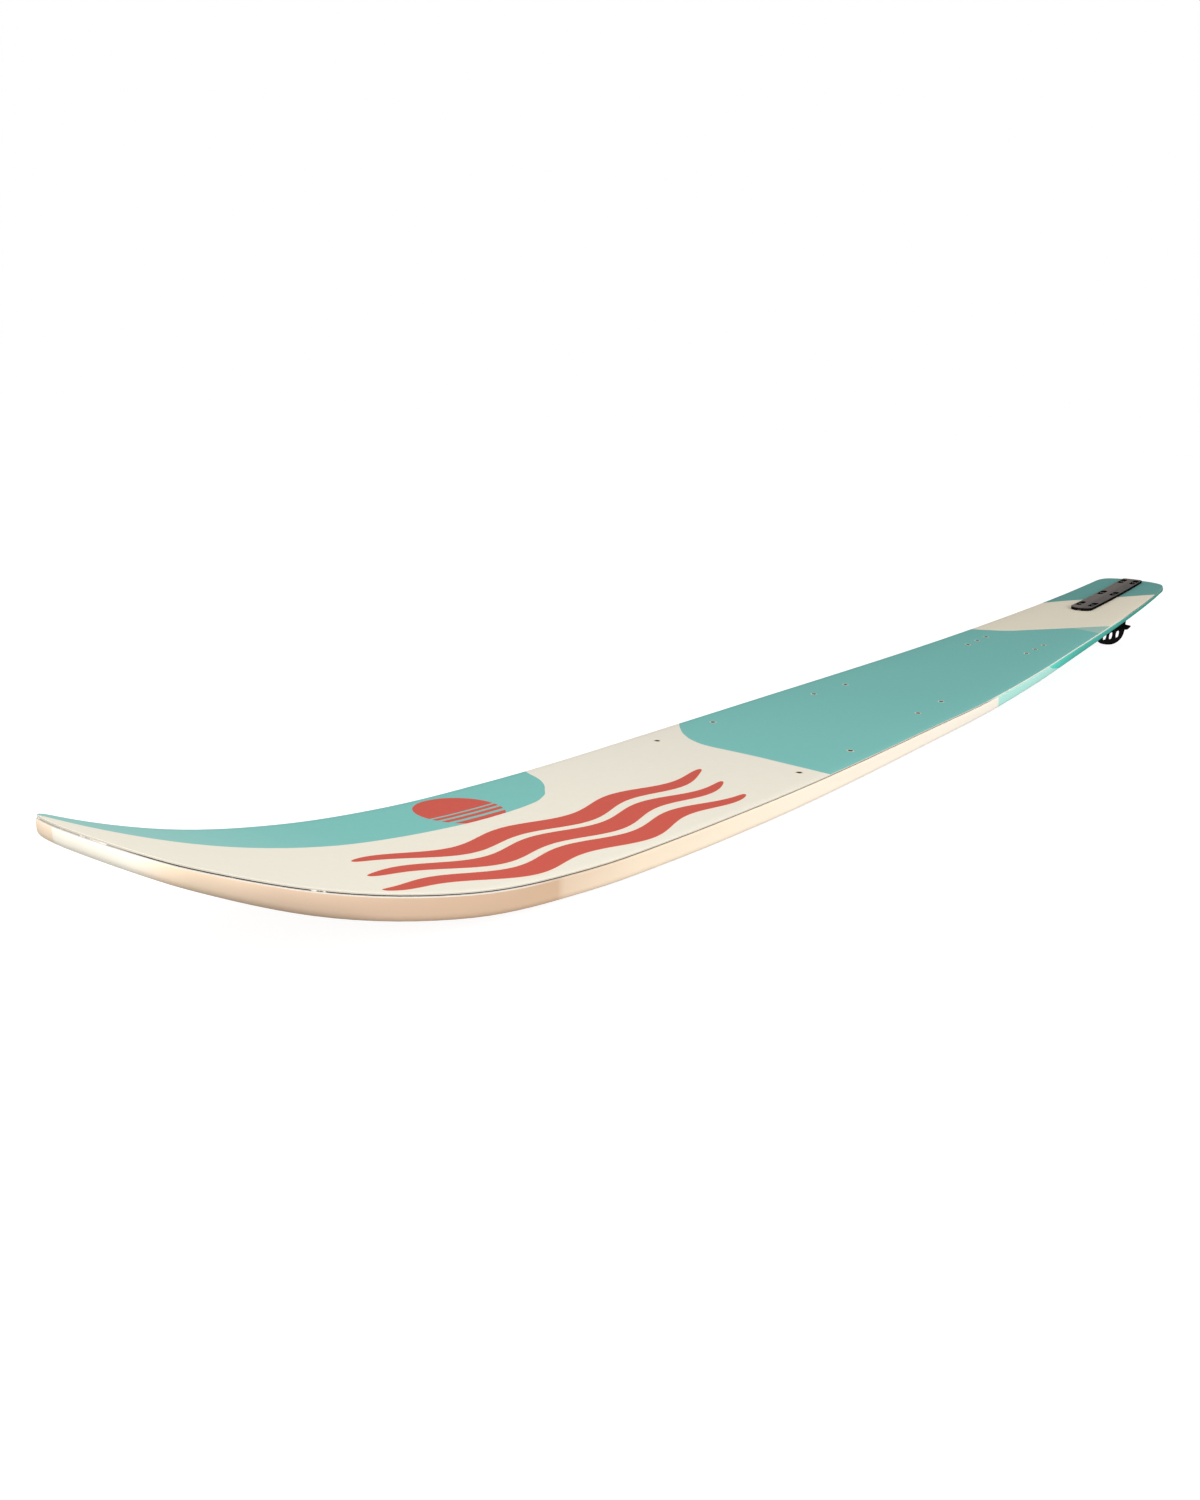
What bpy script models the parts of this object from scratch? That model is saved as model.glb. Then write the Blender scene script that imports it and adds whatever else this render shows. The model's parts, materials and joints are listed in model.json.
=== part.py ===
"""Slalom water ski: laminated body, binding inserts, fin block, fin and wing.

Units are metres. The ski is drawn in its own frame, with x from the tail to the tip, +y to the
skier's left, and z up from the deck's lowest level. The frame is then tilted so that the fin and
the forebody both rest on z = 0.
"""

import math

import bmesh
import bpy
import numpy as np
from mathutils import Matrix, Vector

# Whole ski
SKI_LENGTH = 1.684

# Half outline of the deck edge, tail centre to tip centre: share of the length, half width
HALF_OUTLINE = (
    (0.0000, 0.0000),
    (0.0010, 0.0205),
    (0.0055, 0.0375),
    (0.0126, 0.0440),
    (0.0295, 0.0471),
    (0.0885, 0.0534),
    (0.1770, 0.0608),
    (0.2655, 0.0685),
    (0.3544, 0.0770),
    (0.4430, 0.0836),
    (0.5315, 0.0861),
    (0.6497, 0.0886),
    (0.7381, 0.0877),
    (0.8266, 0.0873),
    (0.8854, 0.0837),
    (0.9448, 0.0681),
    (0.9739, 0.0561),
    (0.9869, 0.0502),
    (0.9923, 0.0417),
    (0.9964, 0.0296),
    (1.0000, 0.0000),
)

# Deck centre line, tail to tip: share of the length, height
ROCKER = (
    (0.0000, 0.0123),
    (0.0590, 0.0066),
    (0.1181, 0.0029),
    (0.1770, 0.0004),
    (0.2655, -0.0023),
    (0.3544, -0.0039),
    (0.4430, -0.0034),
    (0.5315, -0.0006),
    (0.6200, 0.0023),
    (0.7084, 0.0064),
    (0.7672, 0.0109),
    (0.8266, 0.0183),
    (0.8854, 0.0335),
    (0.9448, 0.0626),
    (0.9798, 0.0881),
    (1.0000, 0.1054),
)

# Height of the side, deck edge to base edge: share of the length, height
SIDE_HEIGHT = (
    (0.0000, 0.0062),
    (0.0606, 0.0062),
    (0.1479, 0.0080),
    (0.2365, 0.0107),
    (0.3248, 0.0125),
    (0.4430, 0.0142),
    (0.5315, 0.0160),
    (0.6200, 0.0174),
    (0.7378, 0.0184),
    (0.8266, 0.0171),
    (0.8908, 0.0173),
    (0.9500, 0.0155),
    (1.0000, 0.0109),
)

# Drop of the deck from its flat middle to its edge, with the share of the half width that is flat
EDGE_DROP = (
    (0.0000, 0.0002),
    (0.0910, 0.0009),
    (0.2969, 0.0010),
    (0.6532, 0.0003),
    (0.8314, 0.0),
    (1.0000, 0.0),
)
FLAT_SHARE = 0.55
CROWN_SHARE = 0.78
SQUARE_TAIL = 0.0295

# Shallow tunnel along the base
TUNNEL_DEPTH = (
    (0.0000, 0.0008),
    (0.1213, 0.0012),
    (0.3537, 0.0024),
    (0.6266, 0.0022),
    (0.8086, 0.0),
    (1.0000, 0.0),
)
TUNNEL_FLOOR_SHARE = 0.36
TUNNEL_EDGE_SHARE = 0.70

# Side section
SIDE_BULGE = 0.0008
RIM_ROUND = 0.0010
STRAIGHT_SHARE = 0.70
BEVEL_SHARE = 0.30

# Layers, bonded with a thin line of resin between them
BOND_GAP = 0.00025
TOP_SHEET = 0.0008
TOP_LAMINATE = 0.0006
BOTTOM_LAMINATE = 0.0005
BASE_FLOOR = 0.0010
SIDE_WALL = 0.0024
EDGE_ROUND = 0.0003

# Binding inserts: distance from the tail, half spacing across the ski
BINDING_ROWS = (
    (0.4605, 0.0348),
    (0.4875, 0.0348),
    (0.5145, 0.0348),
    (0.7865, 0.0515),
    (0.8465, 0.0548),
    (1.0090, 0.0681),
    (1.0965, 0.0681),
)
INSERT_LENGTH = 0.0085
INSERT_RADIUS = 0.0033
INSERT_BORE = 0.0019
INSERT_GROOVE = 0.0004
INSERT_GROOVE_WIDTH = 0.0012
INSERT_FOOT = 0.0008
INSERT_SINK = 0.0001
SEAT_GAP = 0.0003

# Fin block plate
BLOCK_START = 0.0125
BLOCK_LENGTH = 0.2260
BLOCK_HALF_WIDTH = 0.0136
BLOCK_HEIGHT = 0.0037
BLOCK_BEVEL = 0.0005
BLOCK_FRONT_ROUND = 0.0130
BLOCK_REAR_ROUND = 0.0050
BLOCK_GAP = 0.0003

# Recesses and their mounting screws, three to a side, measured in from the block's two ends
RECESS_REAR = 0.0210
RECESS_FRONT = 0.0320
RECESS_SIDE = 0.0081
RECESS_LENGTH = 0.0270
RECESS_WIDTH = 0.0074
RECESS_DEPTH = 0.0022
SCREW_SHANK = 0.0016
SCREW_HEAD_RADIUS = 0.0031
SCREW_HEAD_HEIGHT = 0.0015
SCREW_HEAD_ROUND = 0.0006
SCREW_SOCKET = 0.0013
SCREW_SOCKET_DEPTH = 0.0010
SCREW_REACH = 0.0023
BLOCK_INSERT_LENGTH = 0.0033
BLOCK_INSERT_RADIUS = 0.0028

# Slot through the ski, its liner, and the channel under the block
SLOT_REAR_INSET = 0.0157
SLOT_FRONT_INSET = 0.0427
SLOT_START = BLOCK_START + SLOT_REAR_INSET
SLOT_END = BLOCK_START + BLOCK_LENGTH - SLOT_FRONT_INSET
CHANNEL_HALF = 0.0025
CHANNEL_HEIGHT = 0.0024
LINER_WALL = 0.0012
LINER_SINK = 0.0001
ADJUSTER_HALF = 0.0011
MOUTH_LENGTH = 0.0070

# Fin tab, clamp bars and stops
FIN_THICKNESS = 0.0016
SLIDE_CLEARANCE = 0.0001
TAB_INSET = 0.0076
TAB_START = SLOT_START + TAB_INSET
TAB_END = SLOT_END - TAB_INSET
BAR_RISE = 0.0018
BAR_DROP = 0.0046
STOP_LENGTH = 0.0040
STOP_GAP = 0.0001
STOP_RISE = 0.0020
STOP_DROP = 0.0040
FIN_TRAVEL = 0.0030
DEPTH_TRAVEL = 0.0015
SHOULDER_SPARE = 0.0005

# Adjuster screws lie in the channel in front of and behind the stops, each inset from the block's end
ADJUSTER_RADIUS = 0.0009
ADJUSTER_RISE = 0.0013
ADJUSTER_REACH = 0.0065
ADJUSTER_SOCKET = 0.0005
ADJUSTER_SOCKET_DEPTH = 0.0015
ADJUSTER_FRONT_INSET = 0.0059
ADJUSTER_REAR_INSET = 0.0059

# Fin blade, tail side up over the bottom to the leading edge: x from the tail, z
BLADE_CURVE = (
    (0.0225, -0.0460),
    (0.0235, -0.0570),
    (0.0300, -0.0645),
    (0.0440, -0.0686),
    (0.0676, -0.0696),
    (0.0950, -0.0664),
    (0.1270, -0.0594),
    (0.1390, -0.0547),
    (0.1700, -0.0380),
    (0.1900, -0.0210),
)
BLADE_FRONT = 0.1990
FIN_HOLES = ((0.0543, -0.0579), (0.0846, -0.0556), (0.1115, -0.0523))
FIN_HOLE_LENGTH = 0.0180
FIN_HOLE_WIDTH = 0.0095
FIN_HOLE_LEAN = math.radians(2.5)

# Wing, one half on each side of the fin, on two screws
PIVOT_X = 0.0980
PIVOT_Z = -0.0350
REAR_SCREW_BACK = 0.0220
WING_TILT = math.radians(8.0)
WING_SWING = math.radians(4.0)
WING_SWING_SPARE = math.radians(0.8)
WING_DROP = 0.0070
WING_THICKNESS = 0.0015
WING_HALF_SPAN = 0.0236
WING_ROOT = (-0.0260, 0.0110)
WING_TIP = (-0.0215, -0.0040)
WING_TIP_ROUND = 0.0032
TIP_FRONT_TURNS = (20.0, 50.0, 90.0)
TIP_REAR_TURNS = (90.0, 130.0, 170.0)
EAR_THICKNESS = 0.0014
EAR_START = -0.0275
EAR_END = 0.0055
EAR_HEIGHT = 0.0110
WING_SCREW = 0.0015
WING_SCREW_CLEARANCE = 0.0001
WING_HEAD_RADIUS = 0.0029
WING_HEAD_HEIGHT = 0.0016
WING_HEAD_SIDE_SHARE = 0.60
WING_HEAD_TOP_SHARE = 0.70
WING_NUT_RADIUS = 0.0032
WING_NUT_HEIGHT = 0.0022
WING_SCREW_STAND = 0.0004

# Facets
STATION_STEPS = 2
ROUND_SIDES = 12
FINE_SIDES = 24
BORE_SIDES = 16
SLOT_END_SIDES = 8
NUT_SIDES = 6
BAR_STEPS = 10
MOUTH_STEPS = 4
ARC_SAMPLES = 5
ARC_CAP_SAMPLES = 7
BLADE_STEPS = 3
TAB_STATIONS = 6
CORNER_STEPS = 4
BLOCK_STATIONS = 8
SHARP_ANGLE = math.radians(35.0)

# Search for the rest tilt
MAX_REST_TILT = math.radians(10.0)
TILT_HALVINGS = 40

# How far a cutting guide runs past what it cuts, and how far two guides of one channel lap
OVERCUT = 0.0100
CHANNEL_LAP = 0.0010

MATERIALS = {
    "deck_print": ((0.860, 0.820, 0.730), 0.35, 0.0),
    "carbon_laminate": ((0.050, 0.050, 0.050), 0.45, 0.0),
    "core_foam": ((0.760, 0.690, 0.470), 0.90, 0.0),
    "glass_laminate": ((0.560, 0.600, 0.500), 0.50, 0.0),
    "base_shell": ((0.950, 0.860, 0.740), 0.25, 0.0),
    "black_plastic": ((0.030, 0.030, 0.030), 0.55, 0.0),
    "block_anodised": ((0.150, 0.140, 0.135), 0.40, 0.6),
    "fin_anodised": ((0.015, 0.015, 0.015), 0.35, 0.6),
    "insert_brass": ((0.550, 0.430, 0.230), 0.35, 1.0),
    "screw_steel": ((0.420, 0.410, 0.400), 0.30, 1.0),
    "screw_black": ((0.020, 0.019, 0.018), 0.40, 0.5),
}


def clear_scene():
    """Remove whatever the file holds."""
    for obj in list(bpy.data.objects):
        bpy.data.objects.remove(obj, do_unlink=True)


def make_materials():
    """One Principled material for each finish."""
    made = {}
    for name, (colour, roughness, metallic) in MATERIALS.items():
        material = bpy.data.materials.new(name)
        material.use_nodes = True
        shader = material.node_tree.nodes["Principled BSDF"]
        shader.inputs["Base Color"].default_value = (*colour, 1.0)
        shader.inputs["Roughness"].default_value = roughness
        shader.inputs["Metallic"].default_value = metallic
        made[name] = material
    return made


def smooth_line(points):
    """Return a function through the points: a cubic Hermite with central slopes."""
    xs = np.array([p[0] for p in points])
    ys = np.array([p[1] for p in points])
    slopes = np.gradient(ys, xs)

    def value(x):
        x = np.clip(np.asarray(x, float), xs[0], xs[-1])
        i = np.clip(np.searchsorted(xs, x, side="right") - 1, 0, len(xs) - 2)
        h = xs[i + 1] - xs[i]
        t = (x - xs[i]) / h
        low = ys[i] * (1 + 2 * t) * (1 - t) ** 2 + slopes[i] * h * t * (1 - t) ** 2
        high = ys[i + 1] * t * t * (3 - 2 * t) + slopes[i + 1] * h * t * t * (t - 1)
        return low + high

    return value


def along_ski(points):
    """A smooth line whose stations are shares of the ski's length."""
    return smooth_line([(share * SKI_LENGTH, value) for share, value in points])


def smooth_path(points, steps):
    """Sample a smooth plane curve through the points, with steps samples to each span."""
    points = np.array(points, float)
    chords = np.sqrt(np.linalg.norm(np.diff(points, axis=0), axis=1))
    s = np.concatenate([[0.0], np.cumsum(chords)])
    across = smooth_line(list(zip(s, points[:, 0])))
    along = smooth_line(list(zip(s, points[:, 1])))
    spans = [np.linspace(a, b, steps, endpoint=False) for a, b in zip(s, s[1:])]
    samples = np.concatenate(spans + [[s[-1]]])
    return np.stack([across(samples), along(samples)], axis=1)


class Outline:
    """Near half of a symmetric plan outline, from its rear centre to its front centre."""

    def __init__(self, points):
        self.points = np.array(points, float)
        padded = np.vstack([self.points[1] * (1, -1), self.points, self.points[-2] * (1, -1)])
        tangents = padded[2:] - padded[:-2]
        tangents /= np.linalg.norm(tangents, axis=1)[:, None]
        self.normals = np.stack([-tangents[:, 1], tangents[:, 0]], axis=1)

    def row(self, height, outset=0.0, share=1.0):
        """A row of points at a share of the half width; height is a function of x and y."""
        plan = self.points + self.normals * np.asarray(outset)[..., None]
        x = plan[:, 0]
        y = np.maximum(plan[:, 1], 0.0) * share
        y[0] = 0.0
        y[-1] = 0.0
        return np.stack([x, y, height(x, y)], axis=1)


def ski_outline():
    """The deck edge."""
    mirrored = [(0.0, 0.0)] + list(HALF_OUTLINE) + [(0.0, 0.0)]
    mirrored[0] = (HALF_OUTLINE[1][0], -HALF_OUTLINE[1][1])
    mirrored[-1] = (HALF_OUTLINE[-2][0], -HALF_OUTLINE[-2][1])
    path = smooth_path([(share * SKI_LENGTH, y) for share, y in mirrored], STATION_STEPS)
    path = path[STATION_STEPS:-STATION_STEPS]
    path[0] = (0.0, 0.0)
    path[-1] = (SKI_LENGTH, 0.0)
    return Outline(path)


DECK_EDGE = ski_outline()
ROCKER_LINE = along_ski(ROCKER)
SIDE_LINE = along_ski(SIDE_HEIGHT)
DROP_LINE = along_ski(EDGE_DROP)
TUNNEL_LINE = along_ski(TUNNEL_DEPTH)


def half_width(x):
    """Half width of the deck at x."""
    return np.interp(x, DECK_EDGE.points[:, 0], DECK_EDGE.points[:, 1])


def share_of_width(x, y):
    """How far y lies towards the deck edge, from 0 at the middle to 1."""
    section = half_width(np.maximum(x, SQUARE_TAIL * SKI_LENGTH))
    return np.clip(np.abs(y) / np.maximum(section, 1e-4), 0.0, 1.0)


def deck_z(x, y=0.0):
    """Height of the deck: flat in the middle and falling to its edge."""
    fall = np.clip((share_of_width(x, y) - FLAT_SHARE) / (1 - FLAT_SHARE), 0.0, 1.0) ** 2
    return ROCKER_LINE(x) - DROP_LINE(x) * fall


def edge_z(x):
    """Height of the deck edge."""
    return ROCKER_LINE(x) - DROP_LINE(x)


def base_z(x, y=0.0):
    """Height of the base, with its tunnel."""
    share = share_of_width(x, y)
    ramp = np.clip((TUNNEL_EDGE_SHARE - share) / (TUNNEL_EDGE_SHARE - TUNNEL_FLOOR_SHARE), 0.0, 1.0)
    return edge_z(x) - SIDE_LINE(x) + TUNNEL_LINE(x) * ramp * ramp * (3 - 2 * ramp)


def grid_body(name, rows):
    """Close a body from rows of its near half; the first and last rows run along the centre."""
    rows = [np.array(row) for row in rows]
    mesh = bmesh.new()
    known = {}

    def vertex(point):
        key = tuple(int(round(value * 1e6)) for value in point)
        if key not in known:
            known[key] = mesh.verts.new(point)
        return known[key]

    def face(corners):
        distinct = list(dict.fromkeys(vertex(corner) for corner in corners))
        if len(distinct) > 2 and not mesh.faces.get(distinct):
            mesh.faces.new(distinct)

    for side in (1.0, -1.0):
        mirror = np.array([1.0, side, 1.0])
        for low, high in zip(rows, rows[1:]):
            for i in range(len(low) - 1):
                corners = [low[i] * mirror, low[i + 1] * mirror, high[i + 1] * mirror, high[i] * mirror]
                face(corners)
    bmesh.ops.recalc_face_normals(mesh, faces=mesh.faces)
    return finish_mesh(name, mesh)


def finish_mesh(name, mesh):
    """Turn a bmesh into a linked object."""
    data = bpy.data.meshes.new(name)
    mesh.to_mesh(data)
    mesh.free()
    obj = bpy.data.objects.new(name, data)
    bpy.context.scene.collection.objects.link(obj)
    return obj


def sheet_rows(outline, low, high, outset=0.0, shares=(0.0, FLAT_SHARE, CROWN_SHARE)):
    """Rows of a slab between two surfaces, with a small round on its upper edge."""
    ladder_up = [outline.row(low, outset, share) for share in shares]
    ladder_down = [outline.row(high, outset - EDGE_ROUND, share) for share in reversed(shares)]

    def under_edge(x, y):
        return high(x, y) - EDGE_ROUND

    low_edge = outline.row(low, outset)
    side = outline.row(under_edge, outset)
    top = outline.row(high, outset - EDGE_ROUND)
    return ladder_up + [low_edge, side, top] + ladder_down


def bevel_rows(inset, bottom_clear, angles):
    """Rows round the lower corner of the side, at an inset from the outer skin."""
    rows = []
    side = SIDE_LINE(DECK_EDGE.points[:, 0])
    for angle in angles:

        def height(x, y, angle=angle):
            top = deck_z(x, y)
            depth = top - base_z(x, y)
            straight = STRAIGHT_SHARE * depth
            return top - straight - (depth - straight - bottom_clear) * math.sin(angle)

        outset = SIDE_BULGE - inset - BEVEL_SHARE * side * (1 - math.cos(angle))
        rows.append(DECK_EDGE.row(height, outset))
    return rows


def deck_offset(depth):
    """A surface at a depth under the deck."""
    return lambda x, y: deck_z(x, y) - depth


def base_offset(height):
    """A surface at a height over the base."""
    return lambda x, y: base_z(x, y) + height


def make_top_sheet():
    """The printed sheet on the deck."""
    return grid_body("top_sheet", sheet_rows(DECK_EDGE, deck_offset(TOP_SHEET), deck_offset(0.0)))


LAMINATE_TOP = TOP_SHEET + BOND_GAP
RIM_TOP = LAMINATE_TOP + TOP_LAMINATE + BOND_GAP


def make_top_laminate():
    """The carbon layer under the printed sheet, which shows as the dark seam."""
    low = deck_offset(LAMINATE_TOP + TOP_LAMINATE)
    high = deck_offset(LAMINATE_TOP)
    return grid_body("top_laminate", sheet_rows(DECK_EDGE, low, high))


TUNNEL_SHARES = (0.0, TUNNEL_FLOOR_SHARE, 0.5 * (TUNNEL_FLOOR_SHARE + TUNNEL_EDGE_SHARE), TUNNEL_EDGE_SHARE)


def quarter_turn(steps):
    """Angles of a quarter turn, from zero up."""
    return [0.5 * math.pi * i / steps for i in range(steps + 1)]


FULL_BEVEL = quarter_turn(CORNER_STEPS)[::-1]
INNER_BEVEL = quarter_turn(CORNER_STEPS // 2)[::-1]


def base_edge_outset(inset):
    """Outset of the line where the flat base meets its bevel."""
    side = SIDE_LINE(DECK_EDGE.points[:, 0])
    return SIDE_BULGE - inset - BEVEL_SHARE * side


def shell_outside():
    """Rows of the tray's outer skin, from the middle of the base to the rim."""
    outset = base_edge_outset(0.0)
    rows = [DECK_EDGE.row(base_offset(0.0), outset, share) for share in TUNNEL_SHARES]
    rows += bevel_rows(0.0, 0.0, FULL_BEVEL)
    rows.append(DECK_EDGE.row(deck_offset(RIM_TOP + RIM_ROUND), SIDE_BULGE))
    return rows


def make_base_shell():
    """The moulded base and sides, one tray that holds the core."""
    inner = base_edge_outset(SIDE_WALL)
    rows = shell_outside()
    rows.append(DECK_EDGE.row(deck_offset(RIM_TOP), SIDE_BULGE - RIM_ROUND))
    rows.append(DECK_EDGE.row(deck_offset(RIM_TOP), SIDE_BULGE - SIDE_WALL))
    rows += reversed(bevel_rows(SIDE_WALL, BASE_FLOOR, INNER_BEVEL))
    rows += [DECK_EDGE.row(base_offset(BASE_FLOOR), inner, share) for share in reversed(TUNNEL_SHARES)]
    return grid_body("base_shell", rows)


LAMINATE_INSET = SIDE_WALL + BOND_GAP
CORE_FLOOR = BASE_FLOOR + BOND_GAP + BOTTOM_LAMINATE + BOND_GAP


def make_bottom_laminate():
    """The glass layer between the core and the base."""
    low = base_offset(BASE_FLOOR + BOND_GAP)
    high = base_offset(BASE_FLOOR + BOND_GAP + BOTTOM_LAMINATE)
    outset = base_edge_outset(LAMINATE_INSET)
    shares = TUNNEL_SHARES + (1.0,)
    rows = [DECK_EDGE.row(low, outset, share) for share in shares]
    rows += [DECK_EDGE.row(high, outset, share) for share in reversed(shares)]
    return grid_body("bottom_laminate", rows)


def make_core():
    """The foam core, which fills the tray up to the carbon layer."""
    floor = base_edge_outset(LAMINATE_INSET)
    top = deck_offset(RIM_TOP)
    rows = [DECK_EDGE.row(base_offset(CORE_FLOOR), floor, share) for share in TUNNEL_SHARES]
    rows += bevel_rows(LAMINATE_INSET, CORE_FLOOR, INNER_BEVEL)
    rim = SIDE_BULGE - LAMINATE_INSET
    deck_shares = (0.0, FLAT_SHARE, CROWN_SHARE, 1.0)
    rows += [DECK_EDGE.row(top, rim, share) for share in reversed(deck_shares)]
    return grid_body("foam_core", rows)


def deck_frame(x, y):
    """Place on the deck at x and y, with its z along the deck's normal."""
    step = 0.5 * RECESS_LENGTH
    slope = (deck_z(x + step, y) - deck_z(x - step, y)) / (2 * step)
    tilt = Matrix.Rotation(-math.atan(float(slope)), 4, "Y")
    return Matrix.Translation((x, y, float(deck_z(x, y)))) @ tilt


def lathe(name, profile, place, sides=ROUND_SIDES):
    """Turn a profile of radius and height about the local z of a place."""
    mesh = bmesh.new()
    rings = []
    for radius, height in profile:
        if radius == 0.0:
            rings.append([mesh.verts.new((0.0, 0.0, height))])
            continue
        turn = [2 * math.pi * i / sides for i in range(sides)]
        rings.append([mesh.verts.new((radius * math.cos(t), radius * math.sin(t), height)) for t in turn])
    for low, high in zip(rings, rings[1:]):
        for i in range(sides):
            j = (i + 1) % sides
            corners = [low[i % len(low)], low[j % len(low)], high[j % len(high)], high[i % len(high)]]
            mesh.faces.new(list(dict.fromkeys(corners)))
    mesh.transform(place)
    bmesh.ops.recalc_face_normals(mesh, faces=mesh.faces)
    obj = finish_mesh(name, mesh)
    obj.data.shade_smooth()
    obj.data.set_sharp_from_angle(angle=SHARP_ANGLE)
    return obj


def prism(name, plan, low, high, place=Matrix.Identity(4)):
    """Extrude a plan outline between two heights of a place."""
    mesh = bmesh.new()
    bottom = [mesh.verts.new((x, y, low)) for x, y in plan]
    top = [mesh.verts.new((x, y, high)) for x, y in plan]
    mesh.faces.new(bottom)
    mesh.faces.new(top)
    for i in range(len(plan)):
        j = (i + 1) % len(plan)
        mesh.faces.new((bottom[i], bottom[j], top[j], top[i]))
    mesh.transform(place)
    bmesh.ops.recalc_face_normals(mesh, faces=mesh.faces)
    return finish_mesh(name, mesh)


def curved_bar(name, start, end, half, low, high, steps=BAR_STEPS):
    """A bar of rectangular section along the ski, whose faces follow functions of x."""
    mesh = bmesh.new()
    near, far = half
    sections = []
    for x in np.linspace(start, end, steps + 1):
        corners = ((near, low), (far, low), (far, high), (near, high))
        sections.append([mesh.verts.new((x, y, float(level(x)))) for y, level in corners])
    mesh.faces.new(sections[0])
    mesh.faces.new(sections[-1])
    for a, b in zip(sections, sections[1:]):
        for i in range(4):
            j = (i + 1) % 4
            mesh.faces.new((a[i], a[j], b[j], b[i]))
    bmesh.ops.recalc_face_normals(mesh, faces=mesh.faces)
    return finish_mesh(name, mesh)


def pin_profile(radius, low, high):
    """Section of a plain round pin."""
    return ((0.0, low), (radius, low), (radius, high), (0.0, high))


def stadium(length, width, sides=SLOT_END_SIDES):
    """Plan of a slot with round ends, centred on the origin."""
    half = 0.5 * (length - width)
    angles = [math.pi * (i / sides - 0.5) for i in range(sides + 1)]
    front = [(half + 0.5 * width * math.cos(t), 0.5 * width * math.sin(t)) for t in angles]
    return front + [(-x, -y) for x, y in front]


def cut(obj, cutters, operation="DIFFERENCE"):
    """Cut an object with guides that stay hidden."""
    for cutter in cutters:
        modifier = obj.modifiers.new("cut_" + cutter.name, "BOOLEAN")
        modifier.operation = operation
        modifier.object = cutter
        modifier.solver = "EXACT"
        cutter.hide_render = True
        cutter.display_type = "WIRE"


def joined(name, objects):
    """Join separate guides that never touch into one."""
    mesh = bmesh.new()
    for obj in objects:
        mesh.from_mesh(obj.data)
        bpy.data.objects.remove(obj, do_unlink=True)
    return finish_mesh(name, mesh)


def above_deck(height):
    """Height over the deck's centre line, as a function of x alone."""
    return lambda x: deck_z(x) + height


def above_base(height):
    """Height over the base's centre line, as a function of x alone."""
    return lambda x: base_z(x) + height


def binding_places():
    """Name and deck frame of each binding insert."""
    places = []
    for side, sign in (("left", 1.0), ("right", -1.0)):
        for number, (x, half) in enumerate(BINDING_ROWS, 1):
            places.append((f"{side}_{number}", deck_frame(x, sign * half)))
    return places


def block_places():
    """Name and deck frame of each fin block screw."""
    places = []
    first = BLOCK_START + RECESS_REAR
    last = BLOCK_START + BLOCK_LENGTH - RECESS_FRONT
    for side, sign in (("left", 1.0), ("right", -1.0)):
        for number, x in enumerate((first, 0.5 * (first + last), last), 1):
            places.append((f"{side}_{number}", deck_frame(x, sign * RECESS_SIDE)))
    return places


def insert_profile(radius, bore, length):
    """Section of a threaded insert: closed foot, a groove round it and a bore down to the foot."""
    low = -0.5 * (length + INSERT_GROOVE_WIDTH)
    high = low + INSERT_GROOVE_WIDTH
    return (
        (0.0, -length),
        (radius, -length),
        (radius, low - INSERT_GROOVE),
        (radius - INSERT_GROOVE, low),
        (radius - INSERT_GROOVE, high),
        (radius, high + INSERT_GROOVE),
        (radius, -INSERT_SINK),
        (bore, -INSERT_SINK),
        (bore, INSERT_FOOT - length),
        (0.0, INSERT_FOOT - length),
    )


def make_inserts():
    """The threaded inserts for the bindings and for the fin block."""
    made = []
    for name, place in binding_places():
        profile = insert_profile(INSERT_RADIUS, INSERT_BORE, INSERT_LENGTH)
        made.append(lathe("binding_insert_" + name, profile, place))
    for name, place in block_places():
        profile = insert_profile(BLOCK_INSERT_RADIUS, SCREW_SHANK + SEAT_GAP, BLOCK_INSERT_LENGTH)
        made.append(lathe("block_insert_" + name, profile, place))
    return made


def insert_sockets():
    """One guide that opens the sockets of all inserts."""
    sockets = []
    for group, length, radius in (
        (binding_places(), INSERT_LENGTH, INSERT_RADIUS),
        (block_places(), BLOCK_INSERT_LENGTH, BLOCK_INSERT_RADIUS),
    ):
        for name, place in group:
            profile = pin_profile(radius + SEAT_GAP, -length - SEAT_GAP, OVERCUT)
            sockets.append(lathe("socket_" + name, profile, place))
    return joined("insert_sockets", sockets)


LINER_INNER = CHANNEL_HALF
LINER_OUTER = CHANNEL_HALF + LINER_WALL


def make_liner():
    """The moulded liner of the fin slot, through the whole ski."""
    start = SLOT_START - LINER_WALL
    end = SLOT_END + LINER_WALL
    outside = (-LINER_OUTER, LINER_OUTER)
    inside = (-LINER_INNER, LINER_INNER)
    bottom = above_base(LINER_SINK)
    top = above_deck(-LINER_SINK)
    liner = curved_bar("fin_slot_liner", start, end, outside, bottom, top)
    below = above_base(-OVERCUT)
    above = above_deck(OVERCUT)
    opening = curved_bar("liner_opening", SLOT_START, SLOT_END, inside, below, above)
    cut(liner, [opening])
    return liner


def slot_guide():
    """The guide that opens the ski's layers for the liner."""
    start = SLOT_START - LINER_WALL - SEAT_GAP
    end = SLOT_END + LINER_WALL + SEAT_GAP
    wall = LINER_OUTER + SEAT_GAP
    return curved_bar("slot_guide", start, end, (-wall, wall), above_base(-OVERCUT), above_deck(OVERCUT))


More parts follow.
